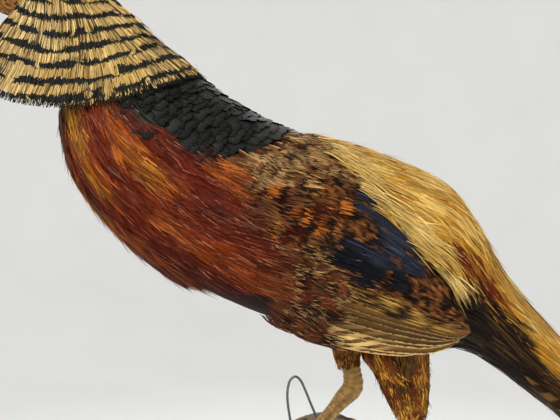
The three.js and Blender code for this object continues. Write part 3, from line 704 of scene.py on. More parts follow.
def banded(base, kind, lower):
    """Locks turned from gold to amber and red-brown, their own colours, and to SOOT as painted shade, in shares that
    grow with `lower`, degrees below the gold.
    """
    # the last share is painted shade: the lowest locks are darkened where they hang in the shade of the wing and under
    # the tail
    amber, red, painted_shade_share = 0.8 * rise(-6, 3, lower), 0.72 * rise(1, 10, lower), 0.85 * rise(13, 24, lower)
    for colour, share in ((linear("#a8741f"), amber), (linear("#5f210a"), red), (SOOT, painted_shade_share)):
        base = np.where((kind < share)[:, None], colour, base)
    return base


# ---------------------------------------------------------------- materials
def add(tree, kind, *inputs, **named):
    """Adds a node and sets or links its inputs, the first ones in order and others by name.

    A name that isn't an input's is one of the node's settings, and a kind may carry its operation after a dot.
    """
    kind, _, operation = kind.partition(".")
    made = tree.nodes.new("ShaderNode" + kind)
    if operation:
        made.operation = operation
    for label, value in [*enumerate(inputs), *named.items()]:
        spaced = str(label).replace("_", " ")
        if label in named and spaced not in made.inputs:
            setattr(made, label, value)
            continue
        socket = made.inputs[spaced if label in named else label]
        value = getattr(value, "outputs", [value])[0]
        if isinstance(value, bpy.types.NodeSocket):
            tree.links.new(value, socket)
        else:
            socket.default_value = (*linear(value), 1) if isinstance(value, str) else value
    return made


def finish(name, build, **shader):
    """A Principled material. build(node) gives the linked inputs; what is the same all over is set on the shader."""
    made = bpy.data.materials.new(name)
    made.use_nodes = True
    made.node_tree.nodes.clear()
    node = functools.partial(add, made.node_tree)
    node("OutputMaterial", Surface=node("BsdfPrincipled", **shader, **build(node)))
    return made


def vane_place(node):
    """Millimetres across a vane and back from its tip, from its Vane map."""
    place = node("VectorMath.MULTIPLY", node("UVMap", uv_map="Vane"), (100, 100, 100))
    return place, *list(node("SeparateXYZ", place).outputs)[:2]


def strand_finish(name, lift=0.4, roughness=0.5, sheen=0.0):
    """Loose feather barbs, keratin: silky, each a little lighter or darker than its neighbour and along itself."""

    def build(node):
        chance = node("Attribute", attribute_name="Chance").outputs["Fac"]
        seeded = node("CombineXYZ", node("Math.MULTIPLY", chance, 90.0))
        stretched = node("VectorMath.MULTIPLY", vane_place(node)[0], (1.5, 0.35, 1))
        noise = node("TexNoise", Vector=node("VectorMath.ADD", stretched, seeded), Scale=1.0, Detail=2.0)
        level = node("Math.MULTIPLY_ADD", noise, lift * 2, 1 - lift)
        level = node("Math.MULTIPLY", level, node("Math.MULTIPLY_ADD", chance, lift, 1 - lift / 2))
        return {"Base_Color": node("VectorMath.SCALE", node("Attribute", attribute_name="Tint"), Scale=level)}

    even = {"Roughness": roughness, "Sheen_Weight": sheen, "Sheen_Roughness": 0.4, "Specular_IOR_Level": 0.06}
    return finish(name, build, IOR=1.5, **even)


def cape_finish(name):
    """Cape barbs, keratin: straw gold, banded with greenish black every 9.8 mm in step all round, and at the hem."""

    def build(node):
        chance, mark = (node("Attribute", attribute_name=label).outputs["Fac"] for label in ("Chance", "Mark"))
        inner = node("Math.ADD", mark, node("Math.MULTIPLY_ADD", chance, 2.0, -1.0))
        at = node("TexCoord").outputs["Object"]
        patch = node("TexNoise", Vector=at, Scale=75.0, Detail=2.0)
        wide = node("Math.MULTIPLY_ADD", patch, 1.1, -0.13)
        band = node("Math.LESS_THAN", node("Math.FRACT", node("Math.DIVIDE", inner, 9.8)), wide)
        broken = node("Math.GREATER_THAN", node("TexNoise", Vector=at, Scale=120.0, Detail=1.0), 0.4)
        outer = node("Math.LESS_THAN", vane_place(node)[2], 3.0)
        tips = node("Math.MULTIPLY", outer, node("Math.LESS_THAN", inner, 12.0))
        hem = node("Math.MAXIMUM", tips, node("Math.LESS_THAN", inner, 5.4))
        black = node("Math.MAXIMUM", node("Math.MULTIPLY", band, broken), hem)
        own = node("Math.MULTIPLY_ADD", chance, 0.5, 0.72)
        straw = node("VectorMath.SCALE", node("Attribute", attribute_name="Tint"), Scale=own)
        return {"Base_Color": node("MixRGB", black, straw, node("Attribute", attribute_name="Trim"))}

    return finish(name, build, Roughness=0.55, IOR=1.5, Specular_IOR_Level=0.1)


def vane_finish(
    name, barb, trim, lines_deep=0.16, period=0.0, dark=0.5, slant=0.8, fleck=0.0, spots=0.0, one_web=False,
):
    """A whole vane, keratin: barbs run slantwise off its shaft `barb` mm apart, coarser than real so that they show.

    Its rim takes the trim colour between the two `trim` places, with a darker band just inside it: a dark band that
    such feathers have, and painted shadow where the next vane overlaps. A period in mm bars it, `dark` of each bar
    being trim-coloured, slanting back from the shaft, on both webs or on one. Trim-coloured flecks are
    `fleck` mm across, and round trim-coloured spots stand `spots` mm apart.
    """

    def build(node):
        place, across, run = vane_place(node)
        chance, rim = (node("Attribute", attribute_name=label).outputs["Fac"] for label in ("Chance", "Rim"))
        ease = {"interpolation_type": "SMOOTHSTEP"}
        far = node("Math.ABSOLUTE", across)
        at = node("VectorMath.ADD", place, node("CombineXYZ", Z=node("Math.MULTIPLY", chance, 70.0)))
        wander = node("TexNoise", Vector=at, Scale=0.45, Detail=3.0)
        lines = node("Math.SUBTRACT", run, node("Math.MULTIPLY", far, -1.1))
        lines = node("Math.ADD", lines, node("Math.MULTIPLY", wander, 1.4))
        wave = node("Math.SINE", node("Math.MULTIPLY", lines, TURN / barb))
        rim = node("Math.ADD", rim, node("Math.MULTIPLY_ADD", wander, 0.4, -0.2))
        share = node("MapRange", rim, *trim, **ease)
        if period:
            back = node("Math.ADD", run, node("Math.MULTIPLY", far, -slant))
            back = node("Math.ADD", back, node("Math.MULTIPLY", wander, period * 0.35))
            phase = node("Math.PINGPONG", node("Math.DIVIDE", back, period), 0.5)
            bars = node("MapRange", phase, dark * 0.5 + 0.06, dark * 0.5 - 0.06, **ease)
            bars = node("Math.MULTIPLY", bars, node("Attribute", attribute_name="Mark").outputs["Fac"])
            bars = node("Math.MULTIPLY", bars, node("MapRange", across, -0.2, 0.3, **ease) if one_web else 1.0)
            share = node("Math.MAXIMUM", share, bars)
        if fleck:
            flecks = node("TexNoise", Vector=at, Scale=1 / fleck, Detail=4.0, Roughness=0.7)
            share = node("Math.MAXIMUM", share, node("MapRange", flecks, 0.5, 0.62, **ease))
        if spots:
            cells = node("TexVoronoi", Vector=at, Scale=1 / spots, Randomness=0.55)
            share = node("Math.MAXIMUM", share, node("MapRange", cells, 0.42, 0.32, **ease))
        colour = node("MixRGB", share, *(node("Attribute", attribute_name=label) for label in ("Tint", "Trim")))
        level = node("Math.MULTIPLY_ADD", wave, lines_deep, 1 - lines_deep * 0.4)
        # a darker band just inside the trim: the feather's own dark band, and painted shadow of the vane that overlaps
        # it
        inside = node("MapRange", rim, trim[0] - 0.35, trim[0] - 0.02, **ease)
        dark_band_and_shadow = node("Math.MULTIPLY", inside, node("Math.SUBTRACT", 1.0, share))
        level = node("Math.MULTIPLY", level, node("Math.MULTIPLY_ADD", dark_band_and_shadow, -0.5, 1.0))
        level = node("Math.MULTIPLY", level, node("Math.MULTIPLY_ADD", chance, 0.3, 0.85))
        normal = node("Bump", Height=wave, Distance=0.00012, Strength=0.5)
        return {"Base_Color": node("VectorMath.SCALE", colour, Scale=level), "Normal": normal}

    return finish(name, build, Roughness=0.5, IOR=1.5, Specular_IOR_Level=0.07)


def skin_finish(name):
    """The mount's dried skin and down under the feathers: matt, dusty, with the coat's own markings."""

    def build(node):
        noise = node("TexNoise", Vector=node("TexCoord").outputs["Object"], Scale=420.0, Detail=4.0)
        level = node("Math.MULTIPLY_ADD", noise, 0.9, 0.2)
        colour = node("VectorMath.SCALE", node("Attribute", attribute_name="Tint"), Scale=level)
        return {"Base_Color": colour, "Normal": node("Bump", Height=noise, Distance=0.0008)}

    return finish(name, build, Roughness=0.85, IOR=1.45, Specular_IOR_Level=0.25)


def horn_finish(name, base, tip):
    """Horn sheath, grown in long fibres: waxy gloss, streaked along, darker to the tip or the root."""

    def build(node):
        stretched = node("VectorMath.MULTIPLY", node("TexCoord").outputs["Object"], (300, 2200, 2200))
        fibre = node("TexNoise", Vector=stretched, Scale=1.0, Detail=3.0)
        streak = node("Math.MULTIPLY_ADD", fibre, 0.5, -0.25)
        share = node("Math.ADD", node("Attribute", attribute_name="Groove").outputs["Fac"], streak)
        normal = node("Bump", Height=fibre, Distance=0.0001, Strength=0.4)
        return {"Base_Color": node("MixRGB", share, base, tip), "Normal": normal}

    return finish(name, build, Roughness=0.32, IOR=1.55)


def glass_finish(name):
    """A glass eye, blown clear and painted behind: a wet gloss over a pale iris with a dark rim and a round pupil."""

    def build(node):
        ring = node("Attribute", attribute_name="Groove").outputs["Fac"]
        noise = node("TexNoise", Vector=node("TexCoord").outputs["Object"], Scale=2500.0, Detail=2.0)
        wavy = node("Math.ADD", ring, node("Math.MULTIPLY_ADD", noise, 0.03, -0.015))
        colour = node("MixRGB", noise, "#d9b545", "#efdc8c")
        for low, high, shown in ((0.66, 0.80, "#4a3210"), (0.40, 0.36, "#060504")):
            share = node("MapRange", wavy, low, high, interpolation_type="SMOOTHSTEP")
            colour = node("MixRGB", share, colour, shown)
        return {"Base_Color": colour}

    return finish(name, build, Roughness=0.06, IOR=1.5, Coat_Weight=1.0, Coat_Roughness=0.02)


def lid_finish(name):
    """The bare skin of the lid, dried and tinted: fine pebbles, darker in the fold by the glass."""

    def build(node):
        cells = node("TexVoronoi", Vector=node("TexCoord").outputs["Object"], Scale=1500.0)
        colour = node("MixRGB", cells, "#c9a04a", "#8f6a2c")
        colour = node("MixRGB", node("Attribute", attribute_name="Groove").outputs["Fac"], colour, "#3a2812")
        return {"Base_Color": colour, "Normal": node("Bump", Height=cells, Distance=0.00015)}

    return finish(name, build, Roughness=0.5, IOR=1.45)


def scaly_finish(name):
    """Scaled leg skin, dried and varnished: waxy plates, darker and duller in the grooves between them."""

    def build(node):
        at = node("TexCoord").outputs["Object"]
        noise = node("TexNoise", Vector=at, Scale=260.0, Detail=4.0)
        fine = node("TexVoronoi", Vector=at, Scale=1300.0)
        share = node("MapRange", noise, 0.35, 0.65, interpolation_type="SMOOTHSTEP")
        colour = node("MixRGB", share, "#8d651f", "#b0873a")
        colour = node("MixRGB", node("Attribute", attribute_name="Groove").outputs["Fac"], colour, "#553a14")
        return {"Base_Color": colour, "Normal": node("Bump", Height=fine, Distance=0.0002, Strength=0.5)}

    return finish(name, build, Roughness=0.42, IOR=1.5)


def bark_finish(name, light, dark, lichen):
    """Dry bark, weathered: matt ridges over dark cracks, with a few pale patches of lichen."""

    def build(node):
        at = node("TexCoord").outputs["Object"]
        groove = node("Attribute", attribute_name="Groove").outputs["Fac"]
        noise = node("TexNoise", Vector=at, Scale=260.0, Detail=6.0, Roughness=0.65)
        wide = node("TexNoise", Vector=at, Scale=45.0, Detail=3.0)
        share = node("Math.ADD", groove, node("Math.MULTIPLY_ADD", noise, 0.8, -0.4), use_clamp=True)
        patch = node("MapRange", wide, 0.58, 0.7, interpolation_type="SMOOTHSTEP")
        colour = node("MixRGB", share, light, dark)
        colour = node("MixRGB", node("Math.MULTIPLY", patch, 0.5), colour, lichen)
        return {"Base_Color": colour, "Normal": node("Bump", Height=noise, Distance=0.0012, Strength=0.7)}

    return finish(name, build, Roughness=0.9, IOR=1.4, Specular_IOR_Level=0.3)


def wood_finish(name):
    """A sawn slice of hardwood, unvarnished: growth rings 2.6 mm apart, fine rays, greyed and dusty."""

    def build(node):
        at = node("TexCoord").outputs["Object"]
        noise = node("TexNoise", Vector=at, Scale=30.0, Detail=4.0)
        wander = node("VectorMath.MULTIPLY", noise.outputs["Color"], (9, 0, 9))
        placed = node("VectorMath.ADD", node("VectorMath.MULTIPLY", at, (1000 / 0.72, 0, 1000)), wander)
        out = node("VectorMath.LENGTH", placed).outputs["Value"]
        rings = node("Math.SINE", node("Math.MULTIPLY", out, TURN / 3.6))
        fine = node("TexNoise", Vector=at, Scale=900.0, Detail=3.0)
        share = node("Math.MULTIPLY_ADD", rings, 0.3, node("Math.MULTIPLY_ADD", fine, 0.7, 0.0), use_clamp=True)
        colour = node("MixRGB", share, "#cdbfa2", "#8f7650")
        colour = node("MixRGB", node("Attribute", attribute_name="Groove").outputs["Fac"], colour, "#4a3620")
        return {"Base_Color": colour, "Normal": node("Bump", Height=rings, Distance=0.0003, Strength=0.4)}

    return finish(name, build, Roughness=0.75, IOR=1.5, Specular_IOR_Level=0.35)


def steel_finish(name):
    """Drawn steel wire, uncoated: bright metal, dulled and roughened in patches."""

    def build(node):
        noise = node("TexNoise", Vector=node("TexCoord").outputs["Object"], Scale=700.0, Detail=3.0)
        colour = node("MixRGB", noise, "#3f4448", "#8d9296")
        return {"Base_Color": colour, "Roughness": node("Math.MULTIPLY_ADD", noise, 0.3, 0.25)}

    return finish(name, build, Metallic=1.0)


def paper_finish(name):
    """Matt paper, rolled out as a backdrop: nearly even, faintly clouded."""

    def build(node):
        noise = node("TexNoise", Vector=node("TexCoord").outputs["Object"], Scale=3.0, Detail=3.0)
        return {"Base_Color": node("MixRGB", noise, "#efefee", "#e8e8e6")}

    return finish(name, build, Roughness=0.95, Specular_IOR_Level=0.1)


SKIN = skin_finish("dried_skin_and_down")
BREAST_BARBS = strand_finish("breast_barbs_silky", roughness=0.42)
GOLD_BARBS = strand_finish("rump_barbs_golden_silk", lift=0.3, roughness=0.4, sheen=0.03)
WING_BARBS = strand_finish("wing_feather_barbs")
LEG_BARBS = strand_finish("thigh_feather_barbs", roughness=0.55)
CAPE_BARBS = cape_finish("cape_barbs_banded")
MANTLE_VANE = vane_finish("mantle_feather_green_black", 1.7, (0.84, 0.93), lines_deep=0.4)
MOTTLED_VANE = vane_finish("secondary_feather_mottled", 1.0, (1.2, 1.4), fleck=1.7)
PRIMARY_VANE = vane_finish("primary_feather_barred", 1.0, (0.84, 0.93), period=12, dark=0.54, slant=2.6, one_web=True)
SPOTTED_VANE = vane_finish("tail_feather_spotted", 1.2, (1.2, 1.4), spots=6.5)
TAIL_VANE = vane_finish("tail_feather_barred", 1.2, (1.2, 1.4), period=13, slant=1.1)


# ---------------------------------------------------------------- skin, breast and rump
def make_skin():
    """The bird's skin: the body drawn in by the depth of its coat, closed over the bill's root and under the tail."""
    u, v = np.meshgrid(np.linspace(0.004, 1, 220), np.arange(100) / 100, indexing="ij")
    points, normal, _, _ = read(BODY, u, v)
    # painted shade: the coat's own markings at 0.4 of their brightness, for the depths of the coat that show between
    # the feathers
    tint = plumage(u, v, points) * 0.4
    tint = np.concatenate([tint.reshape(-1, 3), tint[[0, -1], 0]])
    rings = points - normal * (depth(u) + 0.25 * patchy(points, 3, 9))[..., None]
    piece("skin", *capped(rings), SKIN, "feather_body", ("head", "neck", "trunk", "rump"), Tint=tint)


def make_breast(name, where, side, count, seed):
    """Long silky barbs in small locks, following the body down and back.

    Over the torso they run out over the wing's wrist; over the bare body they clothe the belly below the wing.
    """
    rng = np.random.default_rng(seed)

    def keep(u, v, points):
        t, turn = where_on(u, v)
        wave = patchy(points, 9, 4)
        mantle = np.clip(rise(-3, 5, turn - mantle_edge(t) + 5 * wave) + rise(12.4, 12.8, t), 0, 1)
        share = on_side(v, side) * rise(8.6, 9.2, t) * mantle
        if where is TORSO:
            behind = rise(5, -5, points[..., 0] - wrist_edge(points[..., 2]) + 8 * wave)
            return share * behind * rise(125, 115, turn - 80 * rise(14, 11.5, t))
        below = np.interp(t, [13, 16, 17, 19], [100, 100, 90, 74])
        return share * rise(below - 6, below + 6, turn) * rise(-50, -30, points[..., 0]) * rise(19.4, 18.6, t)

    u, v, points = scatter(where, count, keep, rng, (0.42, 0), (0.98, 1))
    t, turn = where_on(u, v)
    heading = 0.10 * patchy(points, 26, 5) + rng.normal(0, 0.07, count)
    length = rng.uniform(21, 34, count) * (1 - 0.3 * rise(10.5, 9.2, t))
    length = length * mix(0.6, 1, rise(0, 16, wrist_edge(points[:, 2]) - points[:, 0]))
    width = rng.uniform(3.2, 5.2, count)
    vanes, number, _ = locks(where, u, v, heading, rng, 8, width, length, 7, (0.22, 0.38))
    kind = rng.uniform(size=count)
    # painted shadow: locks behind and below the wing's rear are darkened towards SOOT
    painted_shade = rise(15.0, 16.0, t) * rise(72, 84, turn)
    base = plumage(u, v, points)
    base = np.where((kind < 0.22 * (1 - painted_shade))[:, None], mix(base, WINE, 0.7), base)
    base = base * mix(1, 0.84, rise(11.5, 12.8, t))[:, None]
    base = mix(base, SOOT, 0.8 * painted_shade[:, None])[number]
    # orange and golden streaks towards the front: partly the barbs' own orange, partly painted highlight where the silk
    # catches the light
    lie = np.stack([0.8 * turn, 4.5 * t, 0 * t], -1)
    orange = rise(0.0, 0.5, patchy(lie, 8, 15)) * mix(1.0, 0.25, rise(11, 13, t)) * (1 - painted_shade)
    orange = (orange * (0.35 + 0.65 * (kind > 0.5)))[number]
    golden = (rise(12.8, 11, t) * rise(0.0, 0.6, patchy(lie, 6, 21)))[number]
    tint = mix(base, mix(ORANGE, linear("#ac7626"), golden[:, None]), orange[:, None])
    n = len(number)
    # painted highlight: a few strands are turned pale pink as glints on the silk
    painted_gleam = 0.5 * (rng.uniform(size=n) < 0.05) + 0.25 * (rng.uniform(size=n) < 0.1)
    tint = mix(tint, PAINTED_GLEAM, painted_gleam[:, None]) * vary(rng, 0.55, 1.35, n)
    # painted shade along each strand: darker at the root, lighter to the tip; soft patches vary it at random
    rows = mix(0.55, 1.25, np.linspace(0, 1, 7))[None, :, None]
    rows = rows * (1 + 0.35 * patchy(vanes["points"].mean(2), 5, 16))[..., None]
    for k, part in enumerate(dealt(paint(vanes, tint[:, None] * rows, shade=(0.3, 1)), 2)):
        coat(f"{name}_{LABEL[side]}_{k + 1}", [part], BREAST_BARBS, "feather_body", span=(0.4, 0, 1, 1))


def make_rump():
    """Fine golden silk from the middle of the back down to the tail, in long locks that part a little at their ends."""
    rng = np.random.default_rng(31)

    def keep(u, v, points):
        t, turn = where_on(u, v)
        wave = patchy(points, 8, 6)
        return rise(12.3, 12.6, t + 0.3 * wave) * rise(3, -3, turn + 7 - silk_edge(t) + 6 * wave)

    count = 2050
    u, v, points = scatter(TORSO, count, keep, rng, (0.6, 0.1), (0.99, 0.9))
    t, turn = where_on(u, v)
    down = 0.3 * rise(30, 80, turn) * rise(13.5, 15, t) * np.sign(v - 0.5)
    heading = 0.12 * patchy(points, 30, 7) + rng.normal(0, 0.07, count) + down
    room = np.interp(t, [12, 16, 18, 20], [1, 1, 0.8, 0.45])
    length = rng.uniform(24, 40, count) * room
    length = np.minimum(length, ahead_of(TORSO, u, v) * rng.uniform(0.55, 1.2, count) + 5)
    width = rng.uniform(2.6, 4.6, count)
    vanes, number, _ = locks(
        TORSO, u, v, heading, rng, 8, width, length, 7, (0.2, 0.34), loft=1.8, splay=0.03, bend=0.14
    )

    loose = 150
    fringe_t = rng.uniform(13.2, 17.2, loose)
    flip = np.where(rng.uniform(size=loose) < 0.5, -1, 1)
    fringe_v = 0.5 + flip * (silk_edge(fringe_t) - rng.uniform(4, 13, loose)) / 360
    heading = 0.3 * flip + rng.normal(0, 0.1, loose)
    fringe, owner, _ = locks(
        TORSO, fringe_t / LAST, fringe_v, heading, rng, 9, 5, rng.uniform(20, 34, loose), 7, (0.18, 0.28), sink=1.0,
        loft=3.4, splay=0.08, bend=0.2, stray=0.1,
    )
    tone = mix(SILK, GOLD, rng.uniform(size=(loose, 1)))[owner] * vary(rng, 0.6, 1.15, len(owner))
    coat("rump_fringe", [paint(fringe, tone)], GOLD_BARBS, "feather_rump")

    kind = rng.uniform(size=count)
    base = plumage(u, v, points)
    base = np.where((kind < 0.3)[:, None], mix(base, SILK, 0.6), base)
    base = np.where((kind > 0.9)[:, None], AMBER, base)
    gold_ends = np.interp(t, [14.8, 15.6, 16.4, 18, 19.5], [84, 66, 53, 50, 40])
    base = banded(base, kind, turn + 5 * patchy(points, 10, 22) - gold_ends)
    tint = base[number] * vary(rng, 0.6, 1.25, len(number))
    # painted shade: each strand is darker at its root and lighter to its tip
    rows = tint[:, None] * np.array([0.5, 0.65, 0.8, 0.95, 1.05, 1.1, 1.2])[:, None]
    for k, part in enumerate(dealt(paint(vanes, rows), 2)):
        coat(f"rump_silk_{k + 1}", [part], GOLD_BARBS, "feather_rump", span=(0.58, 0.08, 1, 0.92))


# ---------------------------------------------------------------- cape, mantle and shoulder feathers
def make_cape():
    """Rows of hackle-like feathers over the cape's fan, each a row of long loose barbs, banded in step all round."""
    rng = np.random.default_rng(41)
    groups = []
    for k, v0 in enumerate([0.0, 0.12, 0.26, 0.4, 0.53, 0.64, 0.74]):
        centre = read(CAPE, np.linspace(0, 1, 200), np.full(200, min(1.0, v0 + 0.2)))[0]
        girth = reached(centre)
        width = 15 + 4 * v0
        count = int(girth[-1] / (width * 0.5))
        places = (np.arange(count) + 0.5 * (k % 2) + 0.25) / count
        u = np.interp(places * girth[-1], girth, np.linspace(0, 1, 200)) + rng.normal(0, 0.004, count)
        v = np.maximum(v0 + rng.normal(0, 0.02, count), 0)
        heading = np.pi / 2 + rng.normal(0, 0.05, count)
        reach = np.linalg.norm(read(CAPE, u, np.full(count, 0.6))[3], axis=-1)
        length = np.clip((1.0 - v) * reach - rng.uniform(0, 3, count), 12, 42)
        vanes, number, _ = locks(
            CAPE, u, v, heading, rng, 40, width, length / 0.98, 8, (0.19, 0.3), sink=1.8, loft=0.8, splay=0.05,
            fray=0.02, bend=0.05, stray=0.012, slip=1.5, shape=COMB,
        )
        at = vanes["points"].mean(2)
        x, z = at[..., 0] - CAPE_CENTRE[0], CAPE_CENTRE[1] - at[..., 2]
        edge = np.interp(np.degrees(np.arctan2(z, x)), [42, 114], [133, 105])
        inner = edge - np.hypot(x, z) + (1.3 * patchy(at, 14, 17) + 0.4 * patchy(at, 5, 20))
        tone = pick(rng, count, [STRAW, "#a8823d", "#cdab66", "#8e6f36"], [4, 3, 3, 2])[number]
        pale = 0.5 * rng.uniform(size=len(number)) ** 3 + 0.3 * rise(0.25, 0.05, u)[number]
        tone = mix(tone, CREAM, pale[:, None])
        tone = np.where((rng.uniform(size=len(number)) < 0.2)[:, None], tone * 0.16, tone)
        # painted shade: each barb is darker at its root
        tone = tone[:, None] * mix(0.75, 1.05, np.linspace(0, 1, 8))[None, :, None]
        groups.append(paint(vanes, tone, mix(BLACK, GREEN_BLACK, 0.3), inner, shade=(0.8, 1)))
    coat("cape_upper", groups[:4], CAPE_BARBS, "feather_cape", ("cape",))
    coat("cape_lower", groups[4:], CAPE_BARBS, "feather_cape", ("cape",))
    quilt("cape_down", CAPE, "feather_cape", ("cape",), -1.9, 2.2, linear("#33261a"), (0.02, 0.02), (0.98, 0.86))


def make_mantle():
    """Squared green-black feathers below the cape, like shingles, with velvety black edges."""
    rng = np.random.default_rng(51)

    def keep(u, v, points):
        t, turn = where_on(u, v)
        return (t < 12.15 - 0.25 * rise(30, 60, turn)) & (turn + 5 * patchy(points, 8, 4) < mantle_edge(t) + 2)

    u, v, _ = shingle(TORSO, (0.44, 0.24), (0.62, 0.76), 0.0105, 0.03, rng, keep)
    n, rows = len(u), 10
    heading = rng.normal(0, 0.07, n)
    length = rng.uniform(14, 18, n)
    places = trail(TORSO, u, v, heading, length, rows, rng.normal(0, 0.06, n))
    height = mix(-2.0, 0.9, np.linspace(0, 1, rows)) + vary(rng, -0.1, 0.2, n)
    half = rng.uniform(6.4, 8.6, n)
    roll = rng.normal(0, 0.06, n)
    vanes = lay(TORSO, places, half, SQUARE, height, 13, cup=0.06, roll=roll, ragged=0.8, rng=rng)
    tint = pick(rng, n, ["#282a24", "#20241f", "#312f2a", "#1b1f1c"], [3, 3, 2, 2])
    vanes = paint(vanes, tint, BLACK * 0.5, shade=(0.6, 1))
    coat("mantle", [vanes], MANTLE_VANE, "feather_body", span=(0.42, 0.22, 0.66, 0.78))


def make_shoulders(side, seed):
    """Loose feathers of the shoulder and the wing's coverts: brown, with chestnut patches, black spots, buff rims."""
    rng = np.random.default_rng(seed)

    def keep(u, v, points):
        t, turn = where_on(u, v)
        x, z = points[..., 0], points[..., 2]
        kept = on_side(v, side) & (t > np.interp(turn, [0, 49, 68, 82], [12.6, 12.35, 12.0, 11.4]))
        kept &= z > np.interp(x, [-60, -20, 20, 60], [222, 196, 200, 196])
        kept &= (x > wrist_edge(z) - 10 + 5 * patchy(points, 9, 4)) & (turn > silk_edge(t) - 10)
        return kept & (x < np.interp(z, [200, 235, 250, 270], [-6, -14, -4, 18])) & (turn < 118)

    low_v = 0.5 if side == NEAR else 0.1
    u, v, points = shingle(TORSO, (0.56, low_v), (0.86, low_v + 0.4), 0.0095, 0.017, rng, keep, 0.3)
    n = len(u)
    some = lambda share: rng.uniform(size=n) < share
    heading = 0.12 * patchy(points, 22, 5) + rng.normal(0, 0.09, n)
    length = rng.uniform(12, 20, n)
    width = rng.uniform(8, 12, n)
    vanes, number, across = locks(
        TORSO, u, v, heading, rng, 19, width, length, 9, (0.24, 0.4), sink=2.6, loft=1.1, splay=-0.12, stray=0.02,
        slip=1.0,
    )
    upper = rise(260, 268, points[:, 2])[:, None]
    middle = rise(230, 240, points[:, 2])[:, None] * (1 - upper)
    tint = pick(rng, n, [UMBER, "#5b3218", SOOT, "#6a4122"], [4, 3, 2, 2])
    chestnut = mix(linear("#7a3a10"), linear("#9f5a1a"), rng.uniform(size=(n, 1)))
    tint = mix(tint, chestnut, some(0.15 + 0.5 * (patchy(points, 12, 18) > 0.15))[:, None] * middle)
    tint = mix(tint, mix(BUFF, UMBER, 0.3), upper * some(0.55)[:, None])
    tint = mix(tint, WINE, some(0.3)[:, None] * middle)
    tint = (tint * rng.uniform(0.7, 1.2, (n, 1)))[number][:, None]
    middle = middle[number][:, None]
    tint = tint * (1 + mix(0.5, 0.2, middle) * patchy(vanes["points"].mean(2), 3.5, 19)[..., None])
    s = vanes["s"][None, :, None]
    rim = np.maximum(rise(0.72, 0.86, s), rise(0.75, 0.9, abs(across))[:, None, None] * rise(0.4, 0.6, s))
    edged = some(0.6)[number][:, None, None]
    buff = mix(BUFF, linear("#8a6230"), rng.uniform(size=len(number))[:, None, None])
    tint = mix(tint, buff, rim * edged * (1 - 0.7 * middle))
    spot = rise(0.62, 0.72, s) * rise(0.86, 0.8, s * (1 - 0.3 * middle)) * some(0.6)[number][:, None, None]
    tint = mix(tint, SOOT * 0.6, spot)
    tint = tint * mix(rng.uniform(0.6, 1.3, len(number))[:, None, None], 1.0, 0.6 * middle)
    coat(f"shoulder_{LABEL[side]}", [paint(vanes, tint)], WING_BARBS, "feather_wing", span=(0.54, 0, 0.9, 1))


# ---------------------------------------------------------------- wings
def sweep(start, end, rows, sag=0.0):
    """Places along straight lines between roots and tips in a chart's own square, bowed in v by `sag`."""
    s = np.linspace(0, 1, rows)[None, :, None]
    path = start[:, None] * (1 - s) + end[:, None] * s
    path[..., 1] += np.reshape(sag, (-1, 1)) * 4 * s[..., 0] * (1 - s[..., 0])
    return path


def shafts(where, places, height, thick, colour):
    """The shaft of each vane: a narrow ridge along its middle line."""
    return paint(lay(where, places, thick, SHAFT, height, 3, cup=0.9), colour, shade=(0.9, 1))


def make_wing_vanes(side, rng):
    """The folded wing's long vanes, from the lowest up: seven primaries, then twelve secondaries."""
    where, label, rows = WING[side], LABEL[side], 18
    s = np.linspace(0, 1, rows)
    n = 7
    k = np.linspace(0, 1, n)
    start = np.stack([mix(0.38, 0.44, k), mix(0.09, 0.34, k)], -1)
    end = np.stack([mix(0.84, 0.97, k), mix(0.10, 0.42, k)], -1) + rng.normal(0, (0.02, 0.01), (n, 2))
    places = sweep(start, end, rows, mix(-0.015, -0.05, k) + rng.normal(0, 0.006, n))
    height = mix(-1.9, -0.6, s) + mix(-1.0, 1.4, k)[:, None]
    vanes = lay(where, places, mix(6.6, 5.2, k), BLADE, height, 9, cup=0.1, thick=0.25, ragged=1.6, rng=rng)
    tint = pick(rng, n, ["#5d4020", "#6f4d25", "#4a3118"], [1, 1, 1])
    trim = mix(linear("#dcb671"), linear("#94703f"), rise(0.35, 1, k)[:, None])
    paint(vanes, tint, trim, mark=rise(0.62, 0.42, s) * rise(0.62, 0.2, k)[:, None], shade=(0.8, 1))
    groups = [vanes, shafts(where, places, height + 0.2, 0.34, "#8a6a3e")]
    coat(f"primaries_{label}", groups, PRIMARY_VANE, "feather_primary", (f"wing_{label}_primaries",))

    n = 12
    k = np.linspace(0, 1, n)
    start = np.stack([mix(0.36, 0.46, k), mix(0.34, 0.86, k)], -1)
    end = np.stack([mix(0.96, 0.8, k), mix(0.45, 0.9, k)], -1)
    places = sweep(start, end, rows, -0.02)
    height = mix(-2.6, -1.0, s) + mix(-0.5, 0.6, k)[:, None]
    vanes = lay(where, places, mix(5.5, 7.5, k), BLADE, height, 9, cup=0.1, roll=0.08 * side, thick=0.25)
    paint(vanes, pick(rng, n, ["#4a2c16", "#3a2212", "#2e1a0e"], [1, 1, 1]), SOOT * 0.6, shade=(0.8, 1))
    coat(f"secondaries_{label}", [vanes], MOTTLED_VANE, "feather_secondary", (f"wing_{label}_secondaries",))


